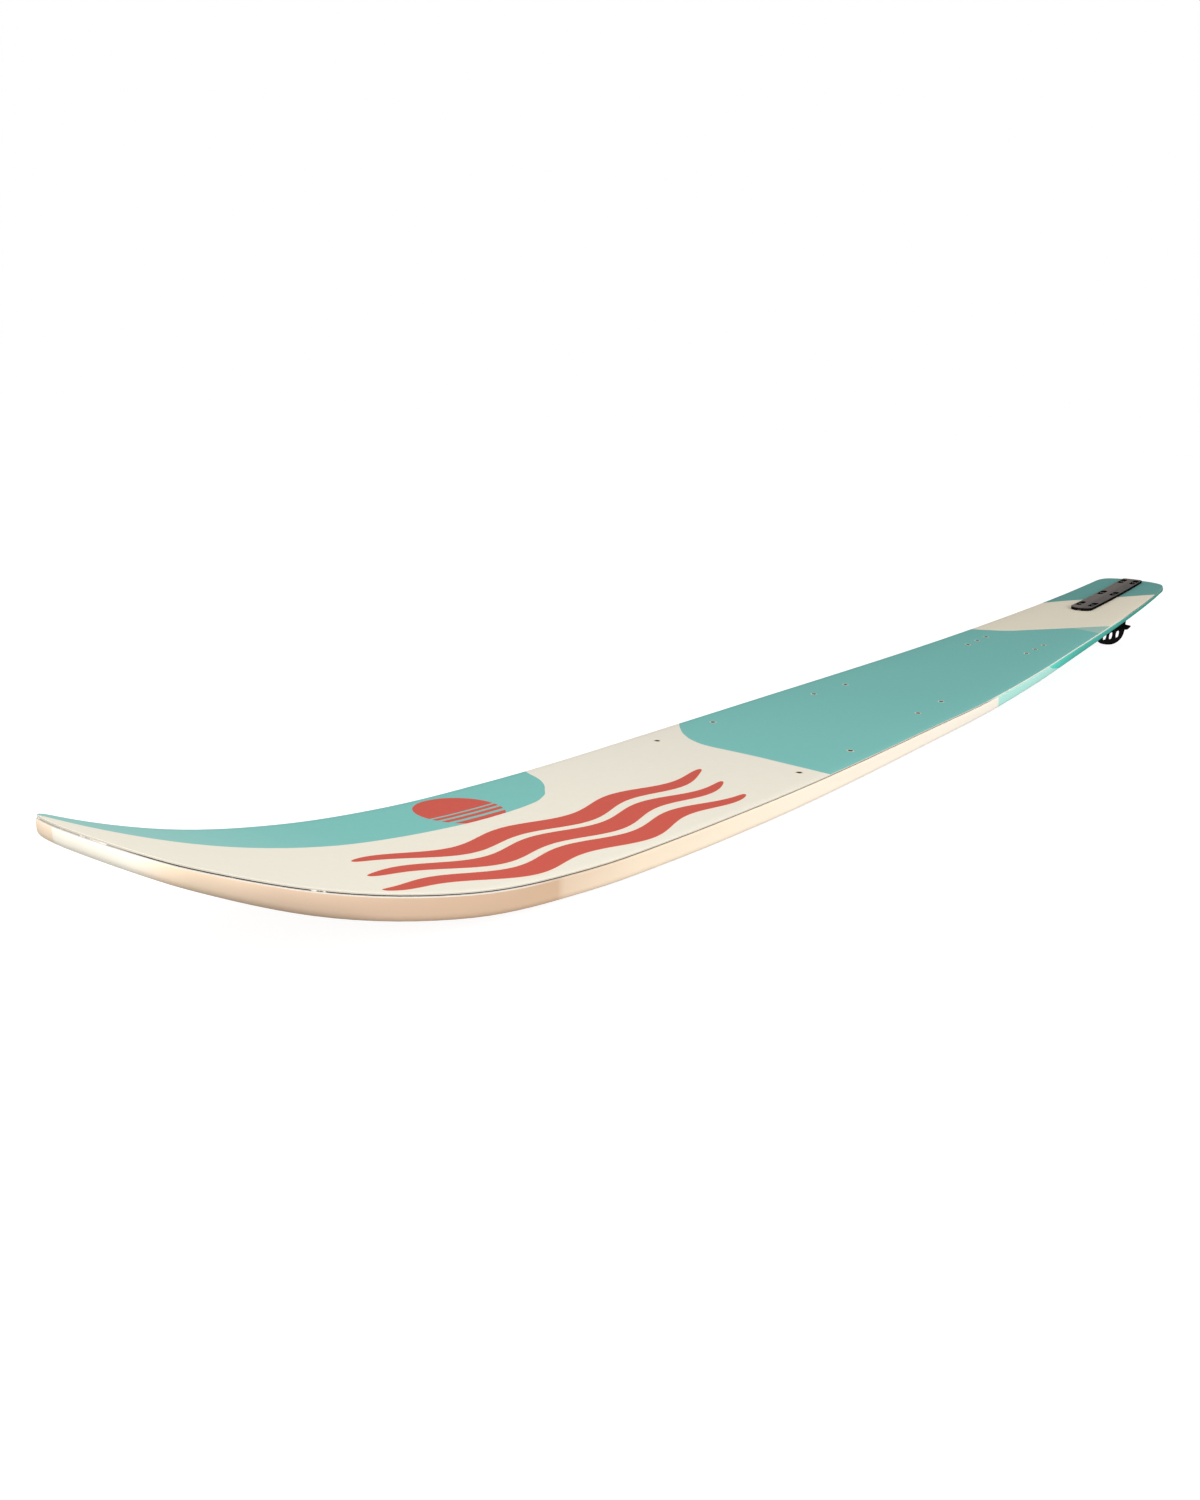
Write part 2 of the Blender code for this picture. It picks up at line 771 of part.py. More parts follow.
def block_outline():
    """Near half of the fin block's plan, rounded more at its front."""

    def corner(x, radius):
        points = []
        for angle in quarter_turn(CORNER_STEPS):
            reach = radius * math.cos(angle)
            points.append((x + reach, BLOCK_HALF_WIDTH - radius + radius * math.sin(angle)))
        return points

    rear_x = BLOCK_START + BLOCK_REAR_ROUND
    front_x = BLOCK_START + BLOCK_LENGTH - BLOCK_FRONT_ROUND
    rear = [(2 * rear_x - x, y) for x, y in corner(rear_x, BLOCK_REAR_ROUND)]
    front = list(reversed(corner(front_x, BLOCK_FRONT_ROUND)))
    middle = [(x, BLOCK_HALF_WIDTH) for x in np.linspace(rear_x, front_x, BLOCK_STATIONS)[1:-1]]
    return Outline([(BLOCK_START, 0.0)] + rear + middle + front + [(BLOCK_START + BLOCK_LENGTH, 0.0)])


def make_block():
    """The fin block plate, its recesses and the channel along its underside."""
    outline = block_outline()
    bottom = deck_offset(-BLOCK_GAP)
    shoulder = deck_offset(BLOCK_BEVEL - BLOCK_HEIGHT)
    top = deck_offset(-BLOCK_HEIGHT)
    rows = [outline.row(bottom, 0.0, 0.0), outline.row(bottom), outline.row(shoulder)]
    rows += [outline.row(top, -BLOCK_BEVEL), outline.row(top, -BLOCK_BEVEL, 0.0)]
    block = grid_body("fin_block", rows)
    under = above_deck(-OVERCUT)
    roof = above_deck(CHANNEL_HEIGHT)
    end = BLOCK_START + BLOCK_LENGTH
    full = (-CHANNEL_HALF, CHANNEL_HALF)
    narrow = (-ADJUSTER_HALF, ADJUSTER_HALF)
    channels = [
        curved_bar("channel", SLOT_START, SLOT_END, full, under, roof),
        curved_bar("rear_channel", BLOCK_START - OVERCUT, SLOT_START + CHANNEL_LAP, narrow, under, roof, 1),
        curved_bar(
            "front_channel", SLOT_END - CHANNEL_LAP, end - CHANNEL_LAP, narrow, under, roof, MOUTH_STEPS
        ),
        curved_bar("front_mouth", end - MOUTH_LENGTH, end + OVERCUT, full, under, roof, 1),
    ]
    recesses = []
    holes = []
    floor = BLOCK_HEIGHT - RECESS_DEPTH
    for name, place in block_places():
        plan = stadium(RECESS_LENGTH, RECESS_WIDTH)
        recesses.append(prism("recess_" + name, plan, floor, OVERCUT, place))
        holes.append(lathe("hole_" + name, pin_profile(SCREW_SHANK + SEAT_GAP, -OVERCUT, OVERCUT), place))
    cut(block, channels + [joined("recesses", recesses), joined("screw_holes", holes)])
    return block


def make_block_screws():
    """The pan-head screws that hold the block down."""
    seat = BLOCK_HEIGHT - RECESS_DEPTH + SEAT_GAP
    top = seat + SCREW_HEAD_HEIGHT
    profile = (
        (0.0, -SCREW_REACH),
        (SCREW_SHANK, -SCREW_REACH),
        (SCREW_SHANK, seat),
        (SCREW_HEAD_RADIUS, seat),
        (SCREW_HEAD_RADIUS, top - SCREW_HEAD_ROUND),
        (SCREW_HEAD_RADIUS - SCREW_HEAD_ROUND, top),
        (SCREW_SOCKET, top),
        (SCREW_SOCKET, top - SCREW_SOCKET_DEPTH),
        (0.0, top - SCREW_SOCKET_DEPTH),
    )
    return [lathe("block_screw_" + name, profile, place) for name, place in block_places()]


def make_clamp_bars():
    """The two bars that grip the fin's tab in the channel."""
    inner = 0.5 * FIN_THICKNESS + SLIDE_CLEARANCE
    outer = CHANNEL_HALF - SLIDE_CLEARANCE
    low = above_deck(-BAR_DROP)
    high = above_deck(BAR_RISE)
    start = TAB_START + FIN_TRAVEL
    end = TAB_END - FIN_TRAVEL
    return [
        curved_bar("clamp_bar_left", start, end, (inner, outer), low, high),
        curved_bar("clamp_bar_right", start, end, (-outer, -inner), low, high),
    ]


def make_stops():
    """The stops that bear on the two ends of the fin's tab."""
    half = CHANNEL_HALF - SLIDE_CLEARANCE
    low = above_deck(-STOP_DROP)
    high = above_deck(STOP_RISE)
    front = TAB_END + STOP_GAP
    rear = TAB_START - STOP_GAP - STOP_LENGTH
    return [
        curved_bar("fin_stop_front", front, front + STOP_LENGTH, (-half, half), low, high, 1),
        curved_bar("fin_stop_rear", rear, rear + STOP_LENGTH, (-half, half), low, high, 1),
    ]


def adjuster_place(x):
    """Start of an adjuster at x, with its z along the channel towards the tip."""
    slope = math.atan(float(deck_z(x + ADJUSTER_REACH) - deck_z(x)) / ADJUSTER_REACH)
    aim = Matrix.Rotation(math.radians(90.0) - slope, 4, "Y")
    return Matrix.Translation((x, 0.0, float(deck_z(x)) + ADJUSTER_RISE)) @ aim


def adjuster_profile(length):
    """Section of a headless screw with a socket in its outer end."""
    floor = length - ADJUSTER_SOCKET_DEPTH
    return (
        (0.0, 0.0),
        (ADJUSTER_RADIUS, 0.0),
        (ADJUSTER_RADIUS, length),
        (ADJUSTER_SOCKET, length),
        (ADJUSTER_SOCKET, floor),
        (0.0, floor),
    )


def make_adjusters():
    """The two screws that set the fin's place along the ski."""
    front_x = TAB_END + STOP_GAP + STOP_LENGTH + SEAT_GAP
    rear_x = TAB_START - STOP_GAP - STOP_LENGTH - SEAT_GAP
    front_length = BLOCK_START + BLOCK_LENGTH - ADJUSTER_FRONT_INSET - front_x
    rear_length = rear_x - BLOCK_START - ADJUSTER_REAR_INSET
    backward = Matrix.Rotation(math.pi, 4, "X")
    front = lathe("adjuster_front", adjuster_profile(front_length), adjuster_place(front_x))
    rear = lathe("adjuster_rear", adjuster_profile(rear_length), adjuster_place(rear_x) @ backward)
    return [front, rear]


def blade_outline():
    """Side view of the fin: tab, shoulders and blade."""
    rise = CHANNEL_HEIGHT - DEPTH_TRAVEL - SLIDE_CLEARANCE
    fall = DEPTH_TRAVEL + SHOULDER_SPARE
    tops = [(x, float(deck_z(x)) + rise) for x in np.linspace(TAB_START, TAB_END, TAB_STATIONS)]
    rear_x = BLADE_CURVE[0][0]
    shoulders = [float(base_z(x)) - fall for x in (rear_x, TAB_START, TAB_END, BLADE_FRONT)]
    curve = [(rear_x, shoulders[0])] + list(BLADE_CURVE) + [(BLADE_FRONT, shoulders[3])]
    blade = [tuple(point) for point in smooth_path(curve, BLADE_STEPS)]
    return blade + [(TAB_END, shoulders[2])] + list(reversed(tops)) + [(TAB_START, shoulders[1])]


UPRIGHT = Matrix.Rotation(math.radians(90.0), 4, "X")


def make_fin():
    """The fin: a thin blade with three slots and the wing's two screw holes."""
    half = 0.5 * FIN_THICKNESS
    fin = prism("fin", blade_outline(), -half, half, UPRIGHT)
    slots = []
    for x, z in FIN_HOLES:
        place = UPRIGHT @ Matrix.Translation((x, z, 0.0)) @ Matrix.Rotation(FIN_HOLE_LEAN, 4, "Z")
        slots.append(prism("slot", stadium(FIN_HOLE_LENGTH, FIN_HOLE_WIDTH), -OVERCUT, OVERCUT, place))
    pivot = UPRIGHT @ Matrix.Translation((PIVOT_X, PIVOT_Z, 0.0))
    pin = pin_profile(WING_SCREW + WING_SCREW_CLEARANCE, -OVERCUT, OVERCUT)
    slots.append(lathe("pivot", pin, pivot, FINE_SIDES))
    slots.append(prism("arc", arc_slot(), -OVERCUT, OVERCUT, pivot))
    cut(fin, [joined("fin_slots", slots)])
    return fin


def arc_slot():
    """The curved slot in the fin for the wing's rear screw, about the pivot."""
    wall = WING_SCREW + SEAT_GAP
    swing = WING_SWING + WING_SWING_SPARE
    centre = math.pi - WING_TILT
    inner = REAR_SCREW_BACK - wall
    outer = REAR_SCREW_BACK + wall
    angles = [centre + swing * t for t in np.linspace(-1.0, 1.0, ARC_SAMPLES)]
    caps = [math.pi * t for t in np.linspace(0.0, 1.0, ARC_CAP_SAMPLES)]
    plan = [(outer * math.cos(a), outer * math.sin(a)) for a in angles]
    for end, turn in ((angles[-1], 0.0), (angles[0], math.pi)):
        centre_x = REAR_SCREW_BACK * math.cos(end)
        centre_y = REAR_SCREW_BACK * math.sin(end)
        for cap in caps[1:-1]:
            aim = end + turn + cap
            plan.append((centre_x + wall * math.cos(aim), centre_y + wall * math.sin(aim)))
        if turn == 0.0:
            plan += [(inner * math.cos(a), inner * math.sin(a)) for a in reversed(angles)]
    return plan


WING_FRAME = Matrix.Translation((PIVOT_X, 0.0, PIVOT_Z)) @ Matrix.Rotation(WING_TILT, 4, "Y")


def wing_plan(sign):
    """Plan of one wing half in the wing's frame: swept back, with a round tip."""
    root = 0.5 * FIN_THICKNESS + SEAT_GAP
    tip_rear, tip_front = WING_TIP
    centre_front = (tip_front - WING_TIP_ROUND, WING_HALF_SPAN - WING_TIP_ROUND)
    centre_rear = (tip_rear + WING_TIP_ROUND, WING_HALF_SPAN - WING_TIP_ROUND)
    plan = [(WING_ROOT[0], root), (WING_ROOT[1], root)]
    for (x, y), angles in ((centre_front, TIP_FRONT_TURNS), (centre_rear, TIP_REAR_TURNS)):
        for angle in angles:
            turn = math.radians(angle)
            plan.append((x + WING_TIP_ROUND * math.cos(turn), y + WING_TIP_ROUND * math.sin(turn)))
    return [(x, sign * y) for x, y in plan]


def make_wing(side, sign):
    """One half of the wing: a swept blade under an ear that lies along the fin."""
    blade = prism("wing_" + side, wing_plan(sign), -WING_DROP - WING_THICKNESS, -WING_DROP, WING_FRAME)
    root = 0.5 * FIN_THICKNESS + SEAT_GAP
    near, far = sorted((sign * root, sign * (root + EAR_THICKNESS)))
    low = -WING_DROP - 0.5 * WING_THICKNESS
    ear_plan = [(EAR_START, near), (EAR_END, near), (EAR_END, far), (EAR_START, far)]
    ear = prism("ear_" + side, ear_plan, low, low + EAR_HEIGHT, WING_FRAME)
    cut(blade, [ear], "UNION")
    bores = []
    for x in (0.0, -REAR_SCREW_BACK):
        place = WING_FRAME @ Matrix.Translation((x, 0.0, 0.0)) @ UPRIGHT
        pin = pin_profile(WING_SCREW + SEAT_GAP, -OVERCUT, OVERCUT)
        bores.append(lathe("bore", pin, place, BORE_SIDES))
    cut(blade, [joined("wing_bores_" + side, bores)])
    return blade


def make_wing_fasteners():
    """The two screws through the wing's ears and the fin, with their nuts."""
    seat = 0.5 * FIN_THICKNESS + SEAT_GAP + EAR_THICKNESS + SEAT_GAP
    foot = -seat - WING_NUT_HEIGHT
    made = []
    screw = (
        (0.0, foot - WING_SCREW_STAND),
        (WING_SCREW, foot - WING_SCREW_STAND),
        (WING_SCREW, seat),
        (WING_HEAD_RADIUS, seat),
        (WING_HEAD_RADIUS, seat + WING_HEAD_SIDE_SHARE * WING_HEAD_HEIGHT),
        (WING_HEAD_TOP_SHARE * WING_HEAD_RADIUS, seat + WING_HEAD_HEIGHT),
        (0.0, seat + WING_HEAD_HEIGHT),
    )
    towards_left = Matrix.Rotation(math.radians(-90.0), 4, "X")
    for name, x in (("front", 0.0), ("rear", -REAR_SCREW_BACK)):
        place = WING_FRAME @ Matrix.Translation((x, 0.0, 0.0)) @ towards_left
        made.append(lathe("wing_screw_" + name, screw, place))
        made.append(hex_nut("wing_nut_" + name, foot, -seat, place))
    return made


def hex_nut(name, low, high, place):
    """A six-sided nut with a round bore, which has one corner and one middle to each flat."""
    sides = 2 * NUT_SIDES
    turns = [2 * math.pi * i / sides for i in range(sides)]
    flat = WING_NUT_RADIUS * math.cos(math.pi / NUT_SIDES)
    outside = [WING_NUT_RADIUS if i % 2 == 0 else flat for i in range(sides)]
    bore = [WING_SCREW + SEAT_GAP] * sides
    mesh = bmesh.new()
    rings = []
    for reaches, height in ((bore, low), (outside, low), (outside, high), (bore, high)):
        corners = [(r * math.cos(t), r * math.sin(t), height) for r, t in zip(reaches, turns)]
        rings.append([mesh.verts.new(corner) for corner in corners])
    for low_ring, high_ring in zip(rings, rings[1:] + rings[:1]):
        for i in range(sides):
            j = (i + 1) % sides
            mesh.faces.new((low_ring[i], low_ring[j], high_ring[j], high_ring[i]))
    mesh.transform(place)
    bmesh.ops.recalc_face_normals(mesh, faces=mesh.faces)
    return finish_mesh(name, mesh)


def rest_frame():
    """Tilt and lift of the ski that set the fin and the forebody on z = 0, centred on x."""
    blade = np.array(blade_outline())
    shell = np.vstack(shell_outside())[:, (0, 2)]
    forebody = shell[shell[:, 0] > 0.5 * SKI_LENGTH]

    def lowest(points, tilt):
        return float(np.min(points[:, 1] * math.cos(tilt) - points[:, 0] * math.sin(tilt)))

    low, high = 0.0, MAX_REST_TILT
    for _ in range(TILT_HALVINGS):
        tilt = 0.5 * (low + high)
        if lowest(forebody, tilt) > lowest(blade, tilt):
            low = tilt
        else:
            high = tilt
    reach = shell[:, 0] * math.cos(tilt) + shell[:, 1] * math.sin(tilt)
    middle = 0.5 * float(np.min(reach) + np.max(reach))
    return Matrix.Translation((-middle, 0.0, -lowest(blade, tilt))) @ Matrix.Rotation(tilt, 4, "Y")


def slide_frame():
    """Frame of the fin's adjustment: x along the deck over the tab, z out of the deck."""
    rise = float(deck_z(TAB_END) - deck_z(TAB_START))
    middle = 0.5 * (TAB_START + TAB_END)
    tilt = Matrix.Rotation(-math.atan2(rise, TAB_END - TAB_START), 4, "Y")
    return Matrix.Translation((middle, 0.0, float(deck_z(middle)))) @ tilt


def pivot_empty(name, place, parent):
    """An empty that carries the pieces of one moving body."""
    empty = bpy.data.objects.new(name, None)
    bpy.context.scene.collection.objects.link(empty)
    empty.parent = parent
    empty.matrix_basis = place
    return empty


def hang(objects, empty, place):
    """Parent objects to an empty, with their meshes measured from it."""
    back = place.inverted()
    for obj in objects:
        obj.data.transform(back)
        obj.parent = empty


def main():
    """Build every piece, cut them to fit and set the ski down."""
    clear_scene()
    materials = make_materials()
    top_sheet = make_top_sheet()
    top_laminate = make_top_laminate()
    base_shell = make_base_shell()
    bottom_laminate = make_bottom_laminate()
    core = make_core()
    slot = slot_guide()
    sockets = insert_sockets()
    for layer in (top_sheet, top_laminate, core):
        cut(layer, [slot, sockets])
    for layer in (bottom_laminate, base_shell):
        cut(layer, [slot])
    liner = make_liner()
    block = make_block()
    screws = make_block_screws()
    bars = make_clamp_bars()
    inserts = make_inserts()
    stops = make_stops()
    adjusters = make_adjusters()
    fin = make_fin()
    wings = [make_wing("left", 1.0), make_wing("right", -1.0)]
    fasteners = make_wing_fasteners()
    finishes = (
        ([top_sheet], "deck_print"),
        ([top_laminate], "carbon_laminate"),
        ([base_shell], "base_shell"),
        ([bottom_laminate], "glass_laminate"),
        ([core], "core_foam"),
        ([liner] + bars + stops, "black_plastic"),
        ([block], "block_anodised"),
        ([fin] + wings, "fin_anodised"),
        (inserts, "insert_brass"),
        (screws, "screw_black"),
        (adjusters + fasteners, "screw_steel"),
    )
    for objects, finish in finishes:
        for obj in objects:
            obj.data.materials.append(materials[finish])
    moving = set(stops + adjusters + [fin] + wings + fasteners)
    ski = pivot_empty("ski_at_rest", rest_frame(), None)
    still = [obj for obj in bpy.data.objects if obj.type == "MESH" and obj not in moving]
    hang(still, ski, Matrix.Identity(4))
    tab = slide_frame()
    slide = pivot_empty("fin_slide", tab, ski)
    hang(stops + adjusters + [fin], slide, tab)
    pivot = Matrix.Translation((PIVOT_X, 0.0, PIVOT_Z))
    hinge = pivot_empty("wing_hinge", tab.inverted() @ pivot, slide)
    hang(wings + fasteners, hinge, pivot)


main()
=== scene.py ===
"""Looks of the slalom water ski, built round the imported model.

Units are metres. Pieces are drawn in the ski's own frame, with x from the tail to the tip, +y to
the skier's left and z up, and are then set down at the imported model's rest place.
"""

import json
import math

import bmesh
import bpy
import numpy as np
from mathutils import Matrix, Vector


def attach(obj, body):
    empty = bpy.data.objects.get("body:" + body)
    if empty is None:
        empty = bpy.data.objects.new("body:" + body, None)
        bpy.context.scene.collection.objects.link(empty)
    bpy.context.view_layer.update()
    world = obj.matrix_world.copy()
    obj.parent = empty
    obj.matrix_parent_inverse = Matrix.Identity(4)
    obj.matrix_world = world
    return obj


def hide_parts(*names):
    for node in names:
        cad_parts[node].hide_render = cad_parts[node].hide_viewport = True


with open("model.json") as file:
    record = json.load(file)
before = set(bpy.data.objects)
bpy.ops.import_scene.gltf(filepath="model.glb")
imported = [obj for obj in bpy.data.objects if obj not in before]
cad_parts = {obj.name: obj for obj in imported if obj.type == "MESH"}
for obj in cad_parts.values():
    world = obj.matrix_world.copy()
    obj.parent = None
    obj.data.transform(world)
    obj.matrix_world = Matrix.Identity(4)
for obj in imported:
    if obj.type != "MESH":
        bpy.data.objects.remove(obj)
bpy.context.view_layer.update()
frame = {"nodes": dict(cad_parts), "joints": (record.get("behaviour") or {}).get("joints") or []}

# Lines of the ski, as shares of its length
SKI_LENGTH = 1.684
HALF_OUTLINE = (
    (0.0, 0.0), (0.001, 0.0205), (0.0055, 0.0375), (0.0126, 0.044), (0.0295, 0.0471),
    (0.0885, 0.0534), (0.177, 0.0608), (0.2655, 0.0685), (0.3544, 0.077), (0.443, 0.0836),
    (0.5315, 0.0861), (0.6497, 0.0886), (0.7381, 0.0877), (0.8266, 0.0873), (0.8854, 0.0837),
    (0.9448, 0.0681), (0.9739, 0.0561), (0.9869, 0.0502), (0.9923, 0.0417), (0.9964, 0.0296),
    (1.0, 0.0),
)
ROCKER = (
    (0.0, 0.0123), (0.059, 0.0066), (0.1181, 0.0029), (0.177, 0.0004), (0.2655, -0.0023),
    (0.3544, -0.0039), (0.443, -0.0034), (0.5315, -0.0006), (0.62, 0.0023), (0.7084, 0.0064),
    (0.7672, 0.0109), (0.8266, 0.0183), (0.8854, 0.0335), (0.9448, 0.0626), (0.9798, 0.0881),
    (1.0, 0.1054),
)
SIDE_HEIGHT = (
    (0.0, 0.0062), (0.0606, 0.0062), (0.1479, 0.008), (0.2365, 0.0107), (0.3248, 0.0125),
    (0.443, 0.0142), (0.5315, 0.016), (0.62, 0.0174), (0.7378, 0.0184), (0.8266, 0.0171),
    (0.8908, 0.0173), (0.95, 0.0155), (1.0, 0.0109),
)
EDGE_DROP = (
    (0.0, 0.0002), (0.091, 0.0009), (0.2969, 0.001), (0.6532, 0.0003), (0.8314, 0.0),
    (1.0, 0.0),
)
TUNNEL_DEPTH = (
    (0.0, 0.0008), (0.1213, 0.0012), (0.3537, 0.0024), (0.6266, 0.0022), (0.8086, 0.0),
    (1.0, 0.0),
)
FLAT_SHARE = 0.55
SQUARE_TAIL = 0.0295
TUNNEL_FLOOR_SHARE = 0.36
TUNNEL_EDGE_SHARE = 0.70
TUNNEL_WALL = TUNNEL_EDGE_SHARE - TUNNEL_FLOOR_SHARE

# Section
SIDE_BULGE = 0.0008
RIM_ROUND = 0.0010
STRAIGHT_SHARE = 0.70
BEVEL_SHARE = 0.30
BOND_GAP = 0.00025
TOP_SHEET = 0.0008
TOP_LAMINATE = 0.0006
BASE_FLOOR = 0.0010
SIDE_WALL = 0.0024
EDGE_ROUND = 0.0003
RIM_TOP = TOP_SHEET + TOP_LAMINATE + 2 * BOND_GAP
SEAM_SPARE = 0.00004
SEAM_SINK = 0.00012

# Binding inserts
BINDING_ROWS = (
    (0.4605, 0.0348), (0.4875, 0.0348), (0.5145, 0.0348), (0.7865, 0.0515), (0.8465, 0.0548),
    (1.009, 0.0681), (1.0965, 0.0681),
)
INSERT_LENGTH = 0.0085
INSERT_RADIUS = 0.0033
INSERT_BORE = 0.0019
SEAT_GAP = 0.0003

# Fin block, its recesses, screws and channel
BLOCK_START = 0.0125
BLOCK_LENGTH = 0.2260
BLOCK_HALF_WIDTH = 0.0136
BLOCK_HEIGHT = 0.0037
BLOCK_BEVEL = 0.0005
BLOCK_FRONT_ROUND = 0.0130
BLOCK_REAR_ROUND = 0.0050
BLOCK_GAP = 0.0003
RECESS_FIRST = 0.0335
RECESS_PITCH = 0.0865
RECESS_SIDE = 0.0081
RECESS_LENGTH = 0.0270
RECESS_WIDTH = 0.0074
RECESS_DEPTH = 0.0022
SCREW_SHANK = 0.0016
SCREW_HEAD_RADIUS = 0.0031
SCREW_HEAD_HEIGHT = 0.0015
SCREW_CROWN = 0.0008
SCREW_SOCKET = 0.0013
SCREW_SOCKET_DEPTH = 0.0010
SCREW_REACH = 0.0023
SLOT_START = 0.0282
SLOT_END = 0.1958
CHANNEL_HALF = 0.0025
CHANNEL_HEIGHT = 0.0024
LINER_WALL = 0.0012
ADJUSTER_HALF = 0.0011
MOUTH_LENGTH = 0.0070

# Fin and wing
FIN_THICKNESS = 0.0016
FIN_EDGE = 0.00035
TAB_START = 0.0358
TAB_END = 0.1882
TAB_RISE = 0.0008
SHOULDER_GAP = 0.0020
BLADE_CURVE = (
    (0.0225, -0.046), (0.0235, -0.057), (0.03, -0.0645), (0.044, -0.0686), (0.0676, -0.0696),
    (0.095, -0.0664), (0.127, -0.0594), (0.139, -0.0547), (0.17, -0.038), (0.19, -0.021),
)
BLADE_FRONT = 0.1990
FIN_HOLES = ((0.0543, -0.0579), (0.0846, -0.0556), (0.1115, -0.0523))
FIN_HOLE_LENGTH = 0.0180
FIN_HOLE_WIDTH = 0.0095
FIN_HOLE_LEAN = math.radians(2.5)
PIVOT_X = 0.0980
PIVOT_Z = -0.0350
REAR_SCREW_BACK = 0.0220
WING_TILT = math.radians(8.0)
WING_SWING = math.radians(4.8)
WING_DROP = 0.0070
WING_THICKNESS = 0.0015
WING_EDGE = 0.00025
WING_HALF_SPAN = 0.0236
WING_ROOT = (-0.0260, 0.0110)
WING_TIP = (-0.0215, -0.0040)
WING_TIP_ROUND = 0.0032
EAR_THICKNESS = 0.0014
EAR_START = -0.0275
EAR_END = 0.0055
EAR_HEIGHT = 0.0110
WING_SCREW = 0.0015
PIVOT_CLEARANCE = 0.0001

# How far guides go past what they cut, and how far two of them overlap
OVERCUT = 0.0100
LAP = 0.0010

# Rest place: the wing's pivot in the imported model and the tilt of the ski
REST_TILT = math.radians(2.896670)
PIVOT = next(joint["pos_m"] for joint in frame["joints"] if joint["name"] == "wing_angle")
REST = (
    Matrix.Translation(PIVOT)
    @ Matrix.Rotation(REST_TILT, 4, "Y")
    @ Matrix.Translation((-PIVOT_X, 0.0, -PIVOT_Z))
)

# Camera in the ski's frame: place, heading, pitch and roll in degrees, and lens in mm
CAMERA_PLACE = (2.011888, 0.558073, 0.326347)
CAMERA_TURN = (-143.140109, 16.684826, -1.094986)
CAMERA_LENS = 32.794

# Colours, as written in sRGB
CREAM = "EDE7D8"
TEAL = "80C1BA"
RED = "CD5F53"
NOSE_TEAL = "97C8C1"
TAIL_TEAL = "73ACA6"
REAR_CREAM = "F4EBD6"
SAGE = "A6CBC0"
HALO_COLOUR = "F3DCC0"


def linear(code):
    """An sRGB colour code as linear values."""
    values = [int(code[i:i + 2], 16) / 255 for i in (0, 2, 4)]
    return (*[v / 12.92 if v <= 0.04045 else ((v + 0.055) / 1.055) ** 2.4 for v in values], 1.0)


def smooth_line(points):
    """Return a function through the points: a cubic Hermite with central slopes."""
    xs = np.array([p[0] for p in points])
    ys = np.array([p[1] for p in points])
    slopes = np.gradient(ys, xs)

    def value(x):
        x = np.clip(np.asarray(x, float), xs[0], xs[-1])
        i = np.clip(np.searchsorted(xs, x, side="right") - 1, 0, len(xs) - 2)
        h = xs[i + 1] - xs[i]
        t = (x - xs[i]) / h
        low = ys[i] * (1 + 2 * t) * (1 - t) ** 2 + slopes[i] * h * t * (1 - t) ** 2
        high = ys[i + 1] * t * t * (3 - 2 * t) + slopes[i + 1] * h * t * t * (t - 1)
        return low + high

    return value


def along_ski(points):
    """A smooth line whose stations are shares of the ski's length."""
    return smooth_line([(share * SKI_LENGTH, value) for share, value in points])


def smooth_path(points, steps):
    """Sample a smooth plane curve through the points, with steps samples to each span."""
    points = np.array(points, float)
    chords = np.sqrt(np.linalg.norm(np.diff(points, axis=0), axis=1))
    s = np.concatenate([[0.0], np.cumsum(chords)])
    across = smooth_line(list(zip(s, points[:, 0])))
    along = smooth_line(list(zip(s, points[:, 1])))
    spans = [np.linspace(a, b, steps, endpoint=False) for a, b in zip(s, s[1:])]
    samples = np.concatenate(spans + [[s[-1]]])
    return np.stack([across(samples), along(samples)], axis=1)


class Outline:
    """Near half of a symmetric plan outline, from its rear centre to its front centre."""

    def __init__(self, points):
        self.points = np.array(points, float)
        padded = np.vstack([self.points[1] * (1, -1), self.points, self.points[-2] * (1, -1)])
        tangents = padded[2:] - padded[:-2]
        tangents /= np.linalg.norm(tangents, axis=1)[:, None]
        self.normals = np.stack([-tangents[:, 1], tangents[:, 0]], axis=1)

    def row(self, height, outset=0.0, share=1.0):
        """A row of points at a share of the half width; height is a function of x and y."""
        plan = self.points + self.normals * np.asarray(outset)[..., None]
        x = plan[:, 0]
        y = np.maximum(plan[:, 1], 0.0) * share
        y[0] = y[-1] = 0.0
        return np.stack([x, y, height(x, y)], axis=1)


def ski_outline(steps):
    """The deck edge, from a curve that goes on past the centre line at both ends."""
    (first, first_half), (last, last_half) = HALF_OUTLINE[1], HALF_OUTLINE[-2]
    mirrored = [(first, -first_half), *HALF_OUTLINE, (last, -last_half)]
    path = smooth_path([(share * SKI_LENGTH, y) for share, y in mirrored], steps)[steps:-steps]
    path[0] = (0.0, 0.0)
    path[-1] = (SKI_LENGTH, 0.0)
    return Outline(path)


DECK_EDGE = ski_outline(8)
ROCKER_LINE = along_ski(ROCKER)
SIDE_LINE = along_ski(SIDE_HEIGHT)
DROP_LINE = along_ski(EDGE_DROP)
TUNNEL_LINE = along_ski(TUNNEL_DEPTH)


def share_of_width(x, y):
    """How far y lies towards the deck edge, from 0 at the middle to 1."""
    station = np.maximum(x, SQUARE_TAIL * SKI_LENGTH)
    section = np.interp(station, DECK_EDGE.points[:, 0], DECK_EDGE.points[:, 1])
    return np.clip(np.abs(y) / np.maximum(section, 1e-4), 0.0, 1.0)


def deck_z(x, y=0.0):
    """Height of the deck: flat in the middle and falling to its edge."""
    fall = np.clip((share_of_width(x, y) - FLAT_SHARE) / (1 - FLAT_SHARE), 0.0, 1.0) ** 2
    return ROCKER_LINE(x) - DROP_LINE(x) * fall


